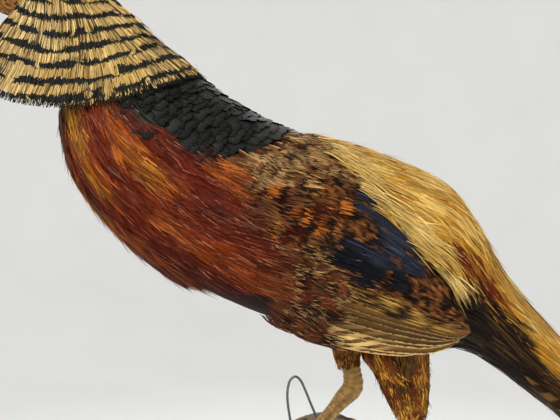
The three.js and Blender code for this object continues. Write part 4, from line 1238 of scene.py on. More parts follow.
def make_wing(side, seed):
    """The folded wing: its long vanes, mottled barbs over them, tufts at the wrist and the loose blue tertials."""
    rng = np.random.default_rng(seed)
    where = WING[side]
    make_wing_vanes(side, rng)
    half = (0.22, 0.36)
    strand = lambda low, high: vary(rng, low, high, len(number))[:, None]
    freckled = lambda *seeds: patchy(vanes["points"].mean(2), *seeds)

    n = 330
    u, v, _ = scatter(where, n, lambda u, v, p: rise(0.36, 0.44, v) * rise(1.0, 0.9, v), rng, (0.4, 0.3), (0.86, 1))
    heading = rng.normal(0, 0.08, n)
    length = np.minimum(rng.uniform(13, 22, n), (0.98 - u) * 170)
    width = rng.uniform(6, 9, n)
    vanes, number, _ = locks(
        where, u, v, heading, rng, 12, width, length, 8, half, sink=2.4, loft=0.9, splay=-0.1, slip=1.5, stray=0.01
    )
    fleck = freckled(1.7, 27) + 0.5 * freckled(5, 28)
    tint = mix(linear("#6a3d1c"), SOOT * 0.6, rise(-0.25, 0.2, fleck)[..., None])
    tint = mix(tint, linear("#8f5d2c"), rise(0.45, 0.7, -fleck)[..., None])
    groups = [paint(vanes, tint * strand(0.55, 1.3), shade=(0.6, 1))]

    n = 70
    u, v, _ = scatter(where, n, lambda u, v, p: rise(0.34, 0.4, u + 0.25 * v), rng, (0.3, 0.0), (0.5, 0.36))
    heading = rng.normal(-0.05, 0.12, n)
    width = rng.uniform(5, 8, n)
    vanes, number, _ = locks(
        where, u, v, heading, rng, 12, width, rng.uniform(11, 19, n), 8, half, sink=2.2, loft=1.0, splay=-0.08,
        slip=1.5, bend=0.2,
    )
    edge = (rise(0.7, 0.9, vanes["s"])[None] * (rng.uniform(size=n) < 0.5)[number][:, None])[..., None]
    tone = pick(rng, n, [UMBER, SOOT, "#5a2412"], [3, 3, 2])[number][:, None]
    groups.append(paint(vanes, mix(tone, BUFF, 0.7 * edge) * strand(0.6, 1.3)))

    n = 9
    u = rng.uniform(0.44, 0.6, n)
    v = rng.uniform(0.34, 0.41, n)
    heading = rng.normal(0.02, 0.03, n)
    vanes, number, _ = locks(
        where, u, v, heading, rng, 16, 4.5, (0.93 - u) * 165, 14, half, sink=2.0, loft=1.2, splay=0.0, fray=0.015,
        bend=0.04, slip=4,
    )
    tint = mix(linear("#a8803c"), SOOT, rise(-0.25, 0.2, freckled(2.2, 29))[..., None])
    groups.append(paint(vanes, tint * strand(0.6, 1.2), shade=(0.6, 1)))
    coat(f"wing_barbs_{LABEL[side]}", groups, WING_BARBS, "feather_secondary")

    n = 42
    k = np.arange(n)
    v = 0.46 + 0.54 * (k + 0.5) / n
    u = 0.40 + 0.08 * v + 0.2 * ((k * 0.618) % 1)
    tip = np.interp(v, [0.46, 0.6, 0.77, 1.0], [0.62, 0.68, 0.78, 0.82])
    length = np.clip((tip - u) * 180, 14, 50)
    heading = rng.normal(0.03, 0.05, n)
    vanes, number, _ = locks(
        where, u, v, heading, rng, 34, rng.uniform(8, 11, n), length, 12, half, sink=2.2, loft=1.9, splay=-0.1,
        fray=0.02, bend=0.06, slip=2, stray=0.01,
    )
    low = rise(0.66, 0.56, v)[number][:, None, None]
    shade = np.clip((0.5 + 0.5 * freckled(9, 30))[..., None] + 0.6 * low, 0, 1)
    tint = mix(mix(NAVY, SLATE, 0.4), linear("#101116"), shade) * strand(0.5, 1.35)
    # painted highlight: a few strands on the upper tertials are turned pale blue as a gleam on their dark blue
    blue = 0.5 * (rng.uniform(size=len(number)) < 0.06)
    tint = mix(tint, linear("#4c5878"), blue[:, None, None] * (1 - low))
    coat(f"tertials_{LABEL[side]}", [paint(vanes, tint)], WING_BARBS, "feather_secondary")

    part = f"wing_{LABEL[side]}_"
    quilt(part + "down", where, "feather_wing", (part + "coverts",), -3.2, 3.5, SOOT, (0.06, 0.06), (0.93, 0.94))


# ---------------------------------------------------------------- tail
def make_tail_vanes(rng):
    """The middle pair, spotted buff on black-brown, and the barred side feathers in steps."""
    rows = 60
    places = sweep(np.array([[0.02, 0.27], [0.02, 0.73]]), np.array([[0.985, 0.44], [0.998, 0.56]]), rows)
    height = np.stack([np.full(rows, 0.0), np.full(rows, 0.5)])
    roll = np.array([0.1, -0.1])
    vanes = lay(ROOF, places, 12.2, BROAD, height, 11, cup=0.22, roll=roll, thick=0.7)
    paint(vanes, "#3a2412", "#b08b52", shade=(1, 1))
    groups = [vanes, shafts(ROOF, places, height + 0.8, 0.9, "#4a2f18")]
    coat("tail_middle_pair", groups, SPOTTED_VANE, "feather_tail", ("tail_middle",))

    n = 5
    k = np.linspace(0, 1, n)
    start = np.stack([np.full(n, 0.02), mix(0.2, 0.72, k)], -1)
    end = np.stack([mix(0.97, 0.5, k), mix(0.42, 0.86, k)], -1)
    places = sweep(start, end, rows)
    height = np.broadcast_to(mix(-0.5, 1.6, k)[:, None], (n, rows))
    for side, label in LABEL.items():
        where = TAIL_SIDE[side]
        vanes = lay(where, places, mix(9.5, 7.5, k), BLADE, height, 9, cup=0.12, roll=0.1 * side, thick=0.5)
        paint(vanes, pick(rng, n, ["#6b4b27", "#7a5733"], [1, 1]), "#291a0d", mark=1.0, shade=(1, 1))
        groups = [vanes, shafts(where, places, height + 0.5, 0.6, "#6a4a28")]
        coat(f"tail_side_{label}", groups, TAIL_VANE, "feather_tail", (f"tail_side_{label}",))


def make_tail():
    """The tail's long vanes, and the silky coverts over their roots in two layers on a sheet of down."""
    rng = np.random.default_rng(71)
    make_tail_vanes(rng)

    n = 560
    keep = lambda u, v, p: rise(0.5, 0.25, u) * rise(0, 0.06, u)
    u, v, points = scatter(BRIDGE, n, keep, rng, (0, 0.08), (0.5, 0.92))
    length = rng.uniform(30, 52, n)
    length = np.minimum(length, ahead_of(BRIDGE, u, v) * rng.uniform(0.7, 1, n))
    heading = rng.normal(0, 0.07, n)
    vanes, number, _ = locks(
        BRIDGE, u, v, heading, rng, 8, rng.uniform(2.6, 5, n), length, 8, (0.22, 0.36), sink=2, loft=1.6, splay=0.02,
        bend=0.1,
    )
    kind = rng.uniform(size=n)
    base = mix(GOLD, AMBER, mix(0.1, 0.6, rise(0.0, 0.5, u + 0.2 * patchy(points, 12, 32)))[:, None])
    base = np.where((kind < 0.2)[:, None], SILK * 0.95, base)
    lower = where_on(u, v)[1] + 8 * patchy(points, 10, 33) - mix(58, 84, rise(0, 0.5, u))
    # painted shade: the lower locks are darkened further to SOOT under the root of the tail
    base = mix(banded(base, kind, lower), SOOT, (0.9 * rise(8, 22, lower))[:, None])
    vanes = paint(vanes, base[number] * vary(rng, 0.6, 1.25, len(number)))
    coat("tail_root_silk", [vanes], GOLD_BARBS, "feather_rump", ("tail_coverts",))

    n = 920
    keep = lambda u, v, p: rise(0.75, 0.3, u) * mix(0.5, 1, rise(0.1, 0.35, v))
    u, v, points = scatter(PLUMES, n, keep, rng, (0, 0), (0.75, 1))
    heading = rng.normal(0, 0.05, n)
    length = np.minimum(rng.uniform(34, 62, n), (1.0 - u) * 235)
    vanes, number, _ = locks(
        PLUMES, u, v, heading, rng, 8, rng.uniform(3, 5.5, n), length, 8, (0.25, 0.42), sink=3, loft=1.4, splay=0.0,
        bend=0.08,
    )
    turn = where_on(u, v)[1] + 10 * patchy(points, 12, 31)
    kind = rng.uniform(size=n)
    base = mix(GOLD, AMBER, mix(0.2, 0.7, rise(0.1, 0.5, u))[:, None])
    base = np.where((kind > 0.85)[:, None], SILK * 0.9, base)
    red = (kind > 0.5) & (kind < 0.5 + 0.2 * rise(0.1, 0.4, u))
    base = np.where(red[:, None], linear("#5a1a0a"), base)
    base = banded(base, kind, turn - mix(80, 73, rise(0, 0.3, u)))
    base = np.where(((kind > 0.8) & (turn > 80))[:, None], linear("#6f5731"), base)
    vanes = paint(vanes, base[number] * vary(rng, 0.6, 1.25, len(number)))
    coat("tail_coverts_silk", [vanes], GOLD_BARBS, "feather_rump", ("tail_coverts",))
    coverts = ("tail_coverts",)
    quilt("tail_coverts_down", PLUMES, "feather_rump", coverts, -3.0, 3.0, UMBER, high=(0.8, 1.0), size=(50, 60))


# ---------------------------------------------------------------- head
def make_head_locks():
    """Short locks from the bill's root to the nape and the throat, from 2 mm on the face to 14 mm on the neck."""
    rng = np.random.default_rng(81)

    def keep(u, v, points):
        t = LAST * u
        eye = np.hypot(points[..., 0] - EYE[0], points[..., 2] - EYE[1])
        return rise(0.15, 0.4, t) * rise(9.6, 9.0, t) * rise(6.3, 7.5, eye) * mix(5.0, 1.0, rise(1, 7, t))

    n = 9000
    u, v, points = scatter(BODY, n, keep, rng, (0.01, 0), (0.5, 1))
    t = LAST * u
    length = np.interp(t, [0, 2, 4, 6, 9], [2.0, 3.0, 5.5, 9, 14]) * rng.uniform(0.8, 1.2, n)
    half = np.interp(t, [0, 2, 5, 9], [0.28, 0.4, 0.6, 0.8])
    heading = rng.normal(0, 0.12, n) + 0.3 * patchy(points, 9, 8)
    places = trail(BODY, u, v, heading, length, 4, rng.normal(0, 0.2, n))
    root = -depth(u)[:, None]
    height = mix(root, 0.25 * root + vary(rng, 0.0, 0.5, n), rise(0, 0.6, np.linspace(0, 1, 4)))
    vanes = lay(BODY, places, half, SLENDER, height, 2, roll=rng.normal(0, 0.3, n))
    tint = plumage(u, v, points) * vary(rng, 0.75, 1.3, n)
    coat("head_locks", [paint(vanes, tint, shade=(0.65, 1))], GOLD_BARBS, "feather_head", span=(0, 0, 0.5, 1))


def make_crest():
    """Golden silk combed back over the crown to the nape."""
    rng = np.random.default_rng(91)
    n = 2700
    u = rng.uniform(0.02, 0.7, n)
    v = 0.5 + 0.46 * rng.uniform(-1, 1, n) * rng.uniform(0.5, 1, n)
    length = rng.uniform(26, 48, n) * np.interp(u, [0, 0.6], [0.8, 1])
    length = np.minimum(length, (1 - u) * 100 - rng.uniform(0, 5, n))
    heading = rng.normal(0, 0.05, n)
    places = trail(CREST, u, v, heading, length, 9, rng.normal(0, 0.1, n))
    s = np.linspace(0, 1, 9)
    height = mix(-2.5, -0.2, rise(0, 0.4, s)) + vary(rng, 0, 1.0, n) * s
    half = rng.uniform(0.3, 0.5, n)
    vanes = lay(CREST, places, half, SLENDER, height, 2, roll=rng.normal(0, 0.4, n))
    tint = pick(rng, n, ["#d9a92f", "#c8921f", "#e6c25c", AMBER], [4, 3, 2, 1])
    coat("crest_silk", [paint(vanes, tint)], GOLD_BARBS, "feather_crest", ("crest",))


# ---------------------------------------------------------------- tubes
def curve(points, t):
    """A centripetal Catmull-Rom curve through points, at t from 0 to 1, with the same share of t between each two."""
    p = np.asarray(points, float)
    p = np.concatenate([[2 * p[0] - p[1]], p, [2 * p[-1] - p[-2]]])
    x = np.clip(t, 0, 1) * (len(p) - 3)
    i = np.minimum(x.astype(int), len(p) - 4)
    f = (x - i)[..., None]
    a, b, c, d = (p[i + k] for k in range(4))
    g0, g1, g2 = (
        np.maximum(np.linalg.norm(m - n, axis=-1, keepdims=True), 1e-6) ** 0.5 for m, n in ((a, b), (b, c), (c, d))
    )
    out = ((b - a) / g0 - (c - a) / (g0 + g1) + (c - b) / g1) * g1
    back = ((c - b) / g1 - (d - b) / (g1 + g2) + (d - c) / g2) * g1
    return b + out * f + (3 * (c - b) - 2 * out - back) * f**2 + (2 * (b - c) + out + back) * f**3


def angles(count):
    """Angles in equal steps round a ring."""
    return TURN * np.arange(count) / count


def carry(path, radius, sides, side=(0, 1, 0), flat=1.0, relief=0.0):
    """A round profile carried along a path: `radius` at each place, `flat` times as wide sideways, plus `relief`
    mm for each place and angle. Angle 0 is away from `side` crossed with the way ahead."""
    tangent = unit(np.gradient(path, axis=0))
    up = unit(np.cross(tangent, np.broadcast_to(np.array(side, float), path.shape)))
    across = unit(np.cross(up, tangent))
    a = angles(sides)
    reach = (radius[:, None] + relief) * np.ones(sides)
    ring = up[:, None] * (reach * np.cos(a))[..., None] + across[:, None] * (reach * flat * np.sin(a))[..., None]
    return path[:, None] + ring


# ---------------------------------------------------------------- bill and eyes
def make_bill():
    """Two halves, each an arched profile that narrows to the tip; the upper is hooked, with a nostril each side."""
    material = horn_finish("bill_horn", "#c9a860", "#8d7240")
    t = np.linspace(0, 1, 60)[:, None]
    a = np.linspace(0, np.pi, 31)[None]
    thin = np.sqrt(1 - 0.97 * t * t)
    bell = lambda x, middle, width: np.exp(-(((x - middle) / width) ** 2))
    for name, above, length, height in (("bill_upper", 1, 24.0, 6.4), ("bill_lower", -1, 21.0, 3.6)):
        upper = above > 0
        nostril = bell(t, 0.2, 0.07) * (bell(a, 0.75, 0.2) + bell(np.pi - a, 0.75, 0.2)) * upper
        dent = 1 - 0.22 * nostril
        x = BILL_ROOT[0] - length * t + 0 * a
        z = BILL_ROOT[1] - 4.4 * (length * t / 24) ** 2 + above * 0.18 + 0 * a
        y = MID + 5 * thin * (1 - 0.35 * t) * np.cos(a) * dent
        arch = z + above * height * thin * np.sin(a) * (1 + 0.10 * bell(a, np.pi / 2, 0.3) * upper) * dent
        rings = np.concatenate([np.stack([x, y, arch], -1), np.stack([x, y, z], -1)[:, -2:0:-1]], 1)
        groove = np.concatenate([0.15 + 0.7 * t**2 + 0.9 * nostril, np.full((60, 29), 0.4)], 1)
        tube(name + "_horn", rings, groove, material, "horn", name)


def make_eyes():
    """A glass eye each side, bulging at its pupil, inside a ring of bare, wrinkled lid."""
    glass, skin = glass_finish("eye_glass_painted_behind"), lid_finish("lid_bare_skin")
    for side, label in LABEL.items():
        centre = np.array([EYE[0], MID + side * EYE_OUT, EYE[1]])
        ahead = unit(np.array([-0.18, side, 0.02]))
        e1 = unit(np.cross(ahead, [0, 0, 1]))
        e2 = np.cross(e1, ahead)
        polar = np.linspace(0.02, np.pi - 0.02, 40)[:, None, None]
        a = angles(48)[None, :, None]
        bulge = 1 + 0.05 * np.exp(-((polar / 0.5) ** 2))
        ball = ahead * np.cos(polar) + np.sin(polar) * (e1 * np.cos(a) + e2 * np.sin(a))
        tube(f"eye_{label}_glass", centre + EYE_RADIUS * bulge * ball, polar[..., 0], glass, "eye", f"eye_{label}")

        r = np.linspace(0, 1, 16)[:, None]
        a = angles(64)[None]
        reach = np.hypot(4.0 * (1 + 0.10 * abs(np.cos(a)) ** 3) * np.cos(a), 3.3 * np.sin(a)) + 4.0 * r
        dx, dz = reach * np.cos(a), reach * np.sin(a) * 0.95
        face = body_half(EYE[0] + dx, EYE[1] + dz, -0.9)
        ball = EYE_OUT + np.sqrt(np.clip(5.9**2 - dx**2 - dz**2, 0, None))
        wrinkle = 0.25 * np.sin(r * np.pi * 5) * rise(0, 0.2, r) * (1 - r)
        out = np.maximum(mix(ball, face, rise(0.15, 0.8, r)), face) + wrinkle
        out = out - 1.2 * rise(0.12, 0, r) - 0.8 * rise(0.85, 1, r)
        upper = np.stack([EYE[0] + dx, MID + side * out, EYE[1] + dz], -1)
        points, faces = looped(np.concatenate([upper, upper[::-1] - [0, side * 0.9, 0]]))
        groove = np.concatenate([rise(0.14, 0.0, r) + 0 * a, 0.5 + 0 * r + 0 * a])
        piece(f"lid_{label}", points, faces, skin, "feather_head", Groove=groove)


# ---------------------------------------------------------------- legs
# Each leg by side: its plane, the thigh's sleeve as x, z and radius, how far the down covers it, the bare leg's places
# above the hock, the hock, the foot, the branch's place under the foot and the thigh's locks.
LEGS = {
    NEAR: (-119.0, [[27, 178, 20], [31.5, 164, 15.5], [34.5, 151, 12.5], [37, 139, 9.4], [38.6, 131, 6.6]], 0.88,
           [[38.6, 133]], [37.8, 126.5], [-23.5, 78.5], 4, 720),
    FAR: (-75.0, [[14, 180, 15], [9, 170, 11], [6.6, 160, 8], [8, 150, 6]], 0.7,
          [[6.5, 162], [9.5, 149]], [9.9, 138], [-41, 78.5], 2, 380),
}
BRANCH_PATH = np.array([
    [-16, -8, 43], [-32, -46, 55], [-42, -75, 57.5], [-33, -97, 58], [-24.5, -119, 57.5], [-12, -144, 56],
    [-3, -163, 53],
], float)
# Each toe's length, drift along the branch, start round it and number of joints.
TOES = {"inner": (33, 0.34, 8, 3), "middle": (47, 0.02, 8, 4), "outer": (36, -0.34, 8, 3), "hind": (15, 0.16, -7, 2)}


def plates(mm, angle, pitch, front):
    """How far a place lies in the groove between scales: bands `pitch` mm apart in front, staggered ones behind."""
    saw = lambda x: abs((x % 1) - 0.5) * 2
    band = rise(0.72, 1.0, saw(mm / pitch))
    row = mm / (pitch * 0.62)
    half = np.where(np.floor(row) % 2 == 0, 0.0, 0.5)
    small = np.maximum(rise(0.7, 1.0, saw(angle / TURN * 9 + half)), rise(0.7, 1.0, saw(row)))
    share = rise(-0.1, 0.3, np.cos(angle - front))
    edge = rise(0.93, 1.0, np.cos(angle - front - 1.45)) + rise(0.93, 1.0, np.cos(angle - front + 1.45))
    return np.clip(mix(small, band, share) + 0.6 * edge, 0, 1)


def make_legs():
    """Shanks with a row of plates in front and small scales behind, with spurs, and the feet and thighs."""
    scaly = scaly_finish("leg_skin_scaled")
    claw_horn = horn_finish("claw_horn", "#6b5330", "#2f2214")
    spur_horn = horn_finish("spur_horn", "#8a6f42", "#4f3a1e")
    for side, (y, sleeve, down, bare, hock, foot, perch, count) in LEGS.items():
        label = LABEL[side]
        way = np.subtract(foot, hock)
        length = np.hypot(*way)
        below = [hock + way * mm / length for mm in (0, 9, 18, 34, 58, length - 5, length)]
        radii = [5.5] * len(bare) + [6.2, 5.4, 4.3, 3.9, 3.9, 4.9, 4.4]
        t = np.linspace(0, 1, 230)
        path = curve(at_y(np.array([*bare, *below]), y), t)
        mm = reached(path)[:, None]
        angle = angles(44)
        groove = plates(mm, angle, 4.2, 0.0)
        wrinkle = 0.2 * np.sin(mm * 1.9 + 2 * np.sin(angle)) * rise(22, 8, abs(mm - 12))
        groove = groove * mix(0.25, 0.8, rise(24, 34, mm))
        relief = -0.3 * groove + 0.1 + wrinkle + 0.25 * np.cos(3 * angle) * rise(14, 24, mm)
        rings = carry(path, along(radii, t * (len(radii) - 1)), 44, flat=0.85, relief=relief)
        tube(f"shank_{label}_scaled", rings, groove, scaly, "skin_leg", f"shank_{label}")

        x, z = hock + way * 52 / length
        root = np.array([x + 1.6, y - 1.6 * side, z - 1.5])
        tip = np.array([x + 9, y - 4.6 * side, z - 4.5])
        s = np.linspace(0, 1, 24)
        path = mix(root, tip, s[:, None]) + np.array([0, 0, 0.9]) * (s**2)[:, None]
        rings = carry(path, mix(2.5, 0.25, s**0.8), 20)
        tube(f"spur_{label}_horn", rings, s[:, None], spur_horn, "horn", f"spur_{label}")
        make_foot(side, perch, scaly, claw_horn)
        make_thigh(side, y, np.array(sleeve, float), down, count)


def make_foot(side, perch, scaly, claw_horn):
    """A foot of four scaled toes that grip the branch, each with its claw."""
    centre = BRANCH_PATH[perch]
    last = len(BRANCH_PATH) - 1
    before, after = (curve(BRANCH_PATH, np.array([(perch + step) / last]))[0] for step in (-0.02, 0.02))
    axis = unit(after - before)
    up = np.array([0, 0, 1.0])
    ahead = unit(np.cross(axis, up))
    across = (0.45, -0.9, 0.1)

    def toe_place(mm, drift, start, lift):
        bend = np.sign(start) * (abs(start) + mm) / 20.1
        r = BRANCH_RADIUS * 1.065 + lift
        out = centre + axis * (drift * mm * np.minimum(1, abs(bend) / 0.5) * side)[:, None]
        return out + up * (r * np.cos(bend))[:, None] + ahead * (r * np.sin(bend))[:, None]

    toes, first = [], 0
    for kind, (size, drift, start, joints) in TOES.items():
        mm, t = np.linspace(-4, size, 90), np.linspace(0, 1, 90)
        path = toe_place(mm, drift, start, 3.45)
        radius = mix(3.1, 2.1, t) * (1 + 0.1 * np.cos(TURN * joints * t)) * np.clip((1.02 - t) * 30, 0.4, 1) ** 0.5
        front = 0.0 if (np.cross(np.gradient(path, axis=0), across) * (path - centre)).sum() > 0 else np.pi
        groove = 0.75 * plates(mm[:, None], angles(28), 2.3, front) * rise(-2, 2, mm)[:, None]
        points, faces = capped(carry(path, radius, 28, side=across, relief=-0.2 * groove))
        toes.append((points, [f + first for f in faces], with_ends(groove)))
        first += len(points)
        s = np.linspace(0, 1, 30)
        path = toe_place(size - 1.2 + 12.5 * s, drift, start, 3.45 + 0.4 * np.sin(np.pi * s) - 1.1 * s)
        rings = carry(path, mix(1.75, 0.22, s**0.9), 18, side=across, flat=0.8)
        claw = f"claw_{LABEL[side]}_{kind}"
        tube(claw + "_horn", rings, s[:, None], claw_horn, "horn", claw)
    points, faces, groove = zip(*toes)
    foot, groove = f"foot_{LABEL[side]}", np.concatenate(groove)
    piece(foot + "_scaled", np.concatenate(points), sum(faces, []), scaly, "skin_leg", (foot,), Groove=groove)


def make_thigh(side, y, sleeve, down, count):
    """The thigh's loose feathers: a sleeve of locks down to the hock, dark-tipped, over a sleeve of down."""
    rng = np.random.default_rng(101 if side == NEAR else 102)
    label = LABEL[side]

    def surface(u, v):
        line = curve(at_y(sleeve[:, :2], y), u[:, 0])
        radius = along(sleeve[:, 2], u[:, 0] * (len(sleeve) - 1))
        up = carry(line, radius, 1, flat=0.8)[:, 0] - line
        across = np.cross(unit(up), unit(np.gradient(line, axis=0)))
        a = TURN * v[..., None]
        return line[:, None] + up[:, None] * np.cos(a) + across[:, None] * (radius * 0.8)[:, None, None] * np.sin(a)

    where = chart(surface, 61, 61, from_line, closed=True)
    span = np.hypot(*(sleeve[-1, :2] - sleeve[0, :2]))
    u, v, points = scatter(where, count, lambda u, v, p: np.ones_like(u), rng, (0, 0), (0.86, 1))
    heading = rng.normal(0, 0.14, count)
    length = rng.uniform(9, 17, count) * mix(1, 0.6, u)
    length = np.minimum(length, (1.0 - u) * span * rng.uniform(0.3, 1, count) + 1)
    width = rng.uniform(2.4, 3.8, count)
    vanes, number, _ = locks(
        where, u, v, heading, rng, 8, width, length, 6, (0.24, 0.4), sink=2.2, splay=0.1, bend=0.2, slip=1.5
    )
    tone = pick(rng, count, ["#8a5a22", "#a8752b", "#5f2c10", OLIVE], [4, 3, 4, 2])
    # painted shade: dark patches towards the thigh's top, under the belly
    painted_shade = 0.75 * rise(0.15, 0.65, patchy(points, 11, 33)) * rise(0.75, 0.4, u)
    tint = mix(1.25 * tone, SOOT, painted_shade[:, None])[number] * vary(rng, 0.6, 1.25, len(number))
    tip = rng.uniform(0.25, 1.0, count)[number][:, None]
    ends = [mix(tint * dark, tint, tip) for dark in (0.5, 0.25)]
    # painted shade: each lock is a little darker at its root; its dark tip is its own
    vanes = paint(vanes, np.stack([tint * 0.8, tint * 0.95, tint * 1.05, tint * 1.05, *ends], 1), shade=(0.6, 1))
    thigh = (f"thigh_{label}",)
    coat(f"thigh_{label}_locks", [vanes], LEG_BARBS, "feather_leg", thigh)
    brown = linear("#4e3217")
    quilt(f"thigh_{label}_down", where, "feather_leg", thigh, -2.4, 2.0, brown, high=(down, 1.0), size=(40, 40))


# ---------------------------------------------------------------- branch, slice and wire
def bark_relief(along_mm, angle, girth, seed):
    """Bark as ridges that run along and split and join: folded patches of noise, stretched along the grain.

    Gives the ridges, the fine relief and how deep each place lies in a groove.
    """
    ring = (girth * np.cos(angle), girth * np.sin(angle), along_mm * 0.3)
    spot = np.stack(np.broadcast_arrays(*ring), -1)
    folds = np.clip(1 - abs(patchy(spot, 5.0, seed)) * 2, -0.2, 1)
    return folds, patchy(spot, 1.6, seed + 1), rise(0.35, -0.1, folds)


def oval(a, inset, grow=0.0):
    """The slice's outline at angles a: an oval with slow waves, less an inset."""
    wave = 1 + 0.012 * np.sin(3 * a + 0.8) + 0.008 * np.sin(5 * a)
    wide, high = SLICE_WIDE - inset + grow, SLICE_HIGH - inset + grow
    return np.stack([wide * wave * np.cos(a), high * wave * np.sin(a)], -1)


def make_slice():
    """The sawn slice of wood, with three drying cracks in its face, and its rim of bark."""
    a = angles(240)
    outline = oval(a, BARK + 0.35)
    sides = ((0, 0.02), (0, 0.5), (0, 1.0), (-8, 1.0), (-16, 1.0), (-23.3, 1.0), (-24, 0.992), (-24, 0.97))
    rings = [at_y(outline * share, float(y)) for y, share in sides]
    grooves = [np.full(240, 0.15)] * len(sides)
    for share in np.linspace(0.95, 0.02, 34):
        cracks = ((2.1, 0.03, 1.0), (4.3, 0.025, 0.8), (5.6, 0.02, 0.6))
        crack = sum(deep * np.exp(-(((a - at) / wide) ** 2)) for at, wide, deep in cracks) * rise(0.15, 0.4, share)
        xz = outline * share
        saw = 0.18 * patchy(np.stack([xz[:, 0] * 0.2, xz[:, 1] * 2, xz[:, 0] * 0], -1), 3.0, 12)
        rings.append(at_y(xz, 1.3 * crack + saw * 0.6 - SLICE_THICK))
        grooves.append(np.clip(0.9 * crack, 0, 1))
    wood = wood_finish("wood_sawn_greyed")
    tube("slice_wood", np.stack(rings), np.stack(grooves), wood, "plaque_wood", "plaque_wood")

    y = np.linspace(0, -SLICE_THICK, 40)
    folds, fine, groove = bark_relief(y[:, None] * 2.2, a[None], 86, 13)
    edge = 0.8 * (rise(2.5, 0, abs(y)) + rise(2.5, 0, abs(y + SLICE_THICK)))[:, None]
    wall = at_y(oval(a, 0, 0.8 * folds + 0.25 * fine - 0.6 - edge), y[:, None])
    inner = [at_y(oval(a, BARK), back) for back in (-SLICE_THICK, -SLICE_THICK / 2, 0.0)]
    points, faces = looped(np.concatenate([wall, inner]))
    groove = np.concatenate([groove, np.full((3, 240), 0.6)])
    bark = bark_finish("bark_dry", "#7c6a55", "#2e2419", "#a9a790")
    piece("slice_bark", points, faces, bark, "plaque_bark", ("plaque_bark",), Groove=groove)


def make_branch():
    """The branch that bends out of the slice, with bark all round it and a sawn end."""
    t = np.linspace(0.085, 1, 190)
    path = curve(BRANCH_PATH, t)
    mm = reached(path)
    radius = BRANCH_RADIUS * (1 + 0.05 * np.sin(9 * t) + 0.12 * (1 - t) ** 12)
    folds, fine, groove = bark_relief(mm[:, None], angles(110)[None], BRANCH_RADIUS, 21)
    near_end = rise(3.0, 0.0, mm[-1] - mm)[:, None]
    relief = (0.9 * folds + 0.3 * fine - 0.9) * (1 - near_end) - 1.6 * near_end**3
    rings = carry(path, radius, 110, side=(0, 0, 1), relief=relief)
    face = [mix(rings[-1].mean(0), rings[-1], share) for share in (0.8, 0.55, 0.3, 0.1)]
    rings = np.concatenate([rings, face])
    rings[..., 1] = np.minimum(rings[..., 1], 0.1 - SLICE_THICK)
    groove = np.concatenate([groove, np.array([[0.1], [0.35], [0.1], [0.5]]) + np.zeros((4, 110))])
    bark = bark_finish("branch_bark_dry", "#6e5138", "#2a1d12", "#8f8a72")
    tube("branch_bark", rings, groove, bark, "branch_bark", "branch")


def make_wire():
    """The loop of wire that the slice hangs by, let into its back."""
    path = np.array([
        [-26, 84], [-27.5, 96], [-29.5, 110], [-29.5, 119], [-27.5, 126], [-24, 128.5], [-20.5, 126], [-17, 119],
        [-12.5, 108], [-7.5, 97], [-1, 85],
    ])
    rings = carry(curve(at_y(path, -SLICE_THICK / 2), np.linspace(0, 1, 150)), np.full(150, 0.9), 16)
    piece("hanging_wire", *capped(rings), steel_finish("wire_drawn_steel"), "steel_wire", ("hanger_wire",))


# ---------------------------------------------------------------- the bird and its mount
make_skin()
make_breast("breast", TORSO, NEAR, 2900, 21)
make_breast("breast", TORSO, FAR, 1350, 22)
make_breast("belly", BODY, NEAR, 600, 23)
make_breast("belly", BODY, FAR, 380, 24)
make_rump()
make_cape()
make_mantle()
make_shoulders(NEAR, 61)
make_shoulders(FAR, 62)
make_wing(NEAR, 65)
make_wing(FAR, 66)
make_tail()
make_head_locks()
make_crest()
make_bill()
make_eyes()
make_legs()
make_slice()
make_branch()
make_wire()


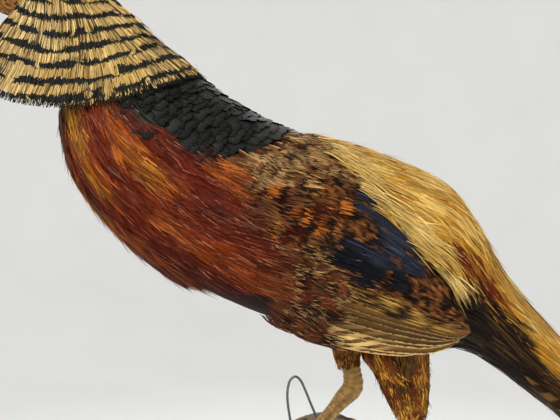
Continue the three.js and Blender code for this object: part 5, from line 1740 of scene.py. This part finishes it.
# ---------------------------------------------------------------- stage
def make_stage():
    """A bowl to stand in: a flat floor that turns up in a quarter circle to a round wall, in matt paper."""
    turn = np.linspace(0, np.pi / 2, 24)[1:]
    r = np.concatenate([[0.05, 1.0, 2.0, 2.8], 2.8 + 1.2 * np.sin(turn), [4.0, 4.0]])[:, None]
    z = np.concatenate([[0, 0, 0, 0], 1.2 - 1.2 * np.cos(turn), [2.4, 3.6]])[:, None] - 0.62
    a = angles(96)
    points = np.stack([r * np.cos(a), r * np.sin(a), z + 0 * a], -1).reshape(-1, 3)
    points = np.concatenate([points, [[0, 0, z[0, 0]]]])
    faces = [grid_faces(1, len(r), 96, ring=True)[:, ::-1], fan_faces(0, 96, len(r) * 96)]
    mesh = bpy.data.meshes.new("floor")
    mesh.from_pydata(points.tolist(), [], [f for group in faces for f in group.tolist()])
    mesh.polygons.foreach_set("use_smooth", np.ones(len(mesh.polygons), bool))
    mesh.materials.append(paper_finish("paper_matt"))
    floor = bpy.data.objects.new("floor", mesh)
    bpy.context.collection.objects.link(floor)


def make_light(name, place, target, size, watts, colour):
    """A soft square light that faces its target."""
    lamp = bpy.data.lights.new(name, "AREA")
    lamp.shape, lamp.size, lamp.energy, lamp.color = "SQUARE", size, watts, tuple(linear(colour))
    made = bpy.data.objects.new(name, lamp)
    made.location = place
    made.rotation_euler = (Vector(target) - Vector(place)).to_track_quat("-Z", "Y").to_euler()
    bpy.context.collection.objects.link(made)


make_stage()
make_light("key", (-1.1, -1.7, 1.7), (0.05, -0.1, 0.2), 1.5, 52, "#ffffff")
make_light("fill", (1.7, -1.6, 0.9), (0.1, -0.1, 0.15), 1.6, 16, "#fafcff")
make_light("back", (0.3, 1.9, 1.6), (0.1, -0.1, 0.1), 1.6, 18, "#ffffff")

world = bpy.data.worlds.new("soft_room")
bpy.context.scene.world = world
world.use_nodes = True
world.node_tree.nodes["Background"].inputs["Color"].default_value = (*linear("#f3f3f2"), 1)
world.node_tree.nodes["Background"].inputs["Strength"].default_value = 0.78

camera = bpy.data.objects.new("camera", bpy.data.cameras.new("camera"))
camera.data.lens, camera.data.sensor_width = 42, 36
camera.data.clip_start = 0.02
camera.location = (-0.035, -0.481, 0.248)
camera.rotation_euler = (np.pi / 2, 0, 0)
bpy.context.collection.objects.link(camera)
bpy.context.scene.camera = camera
bpy.context.scene.view_settings.view_transform = "Standard"
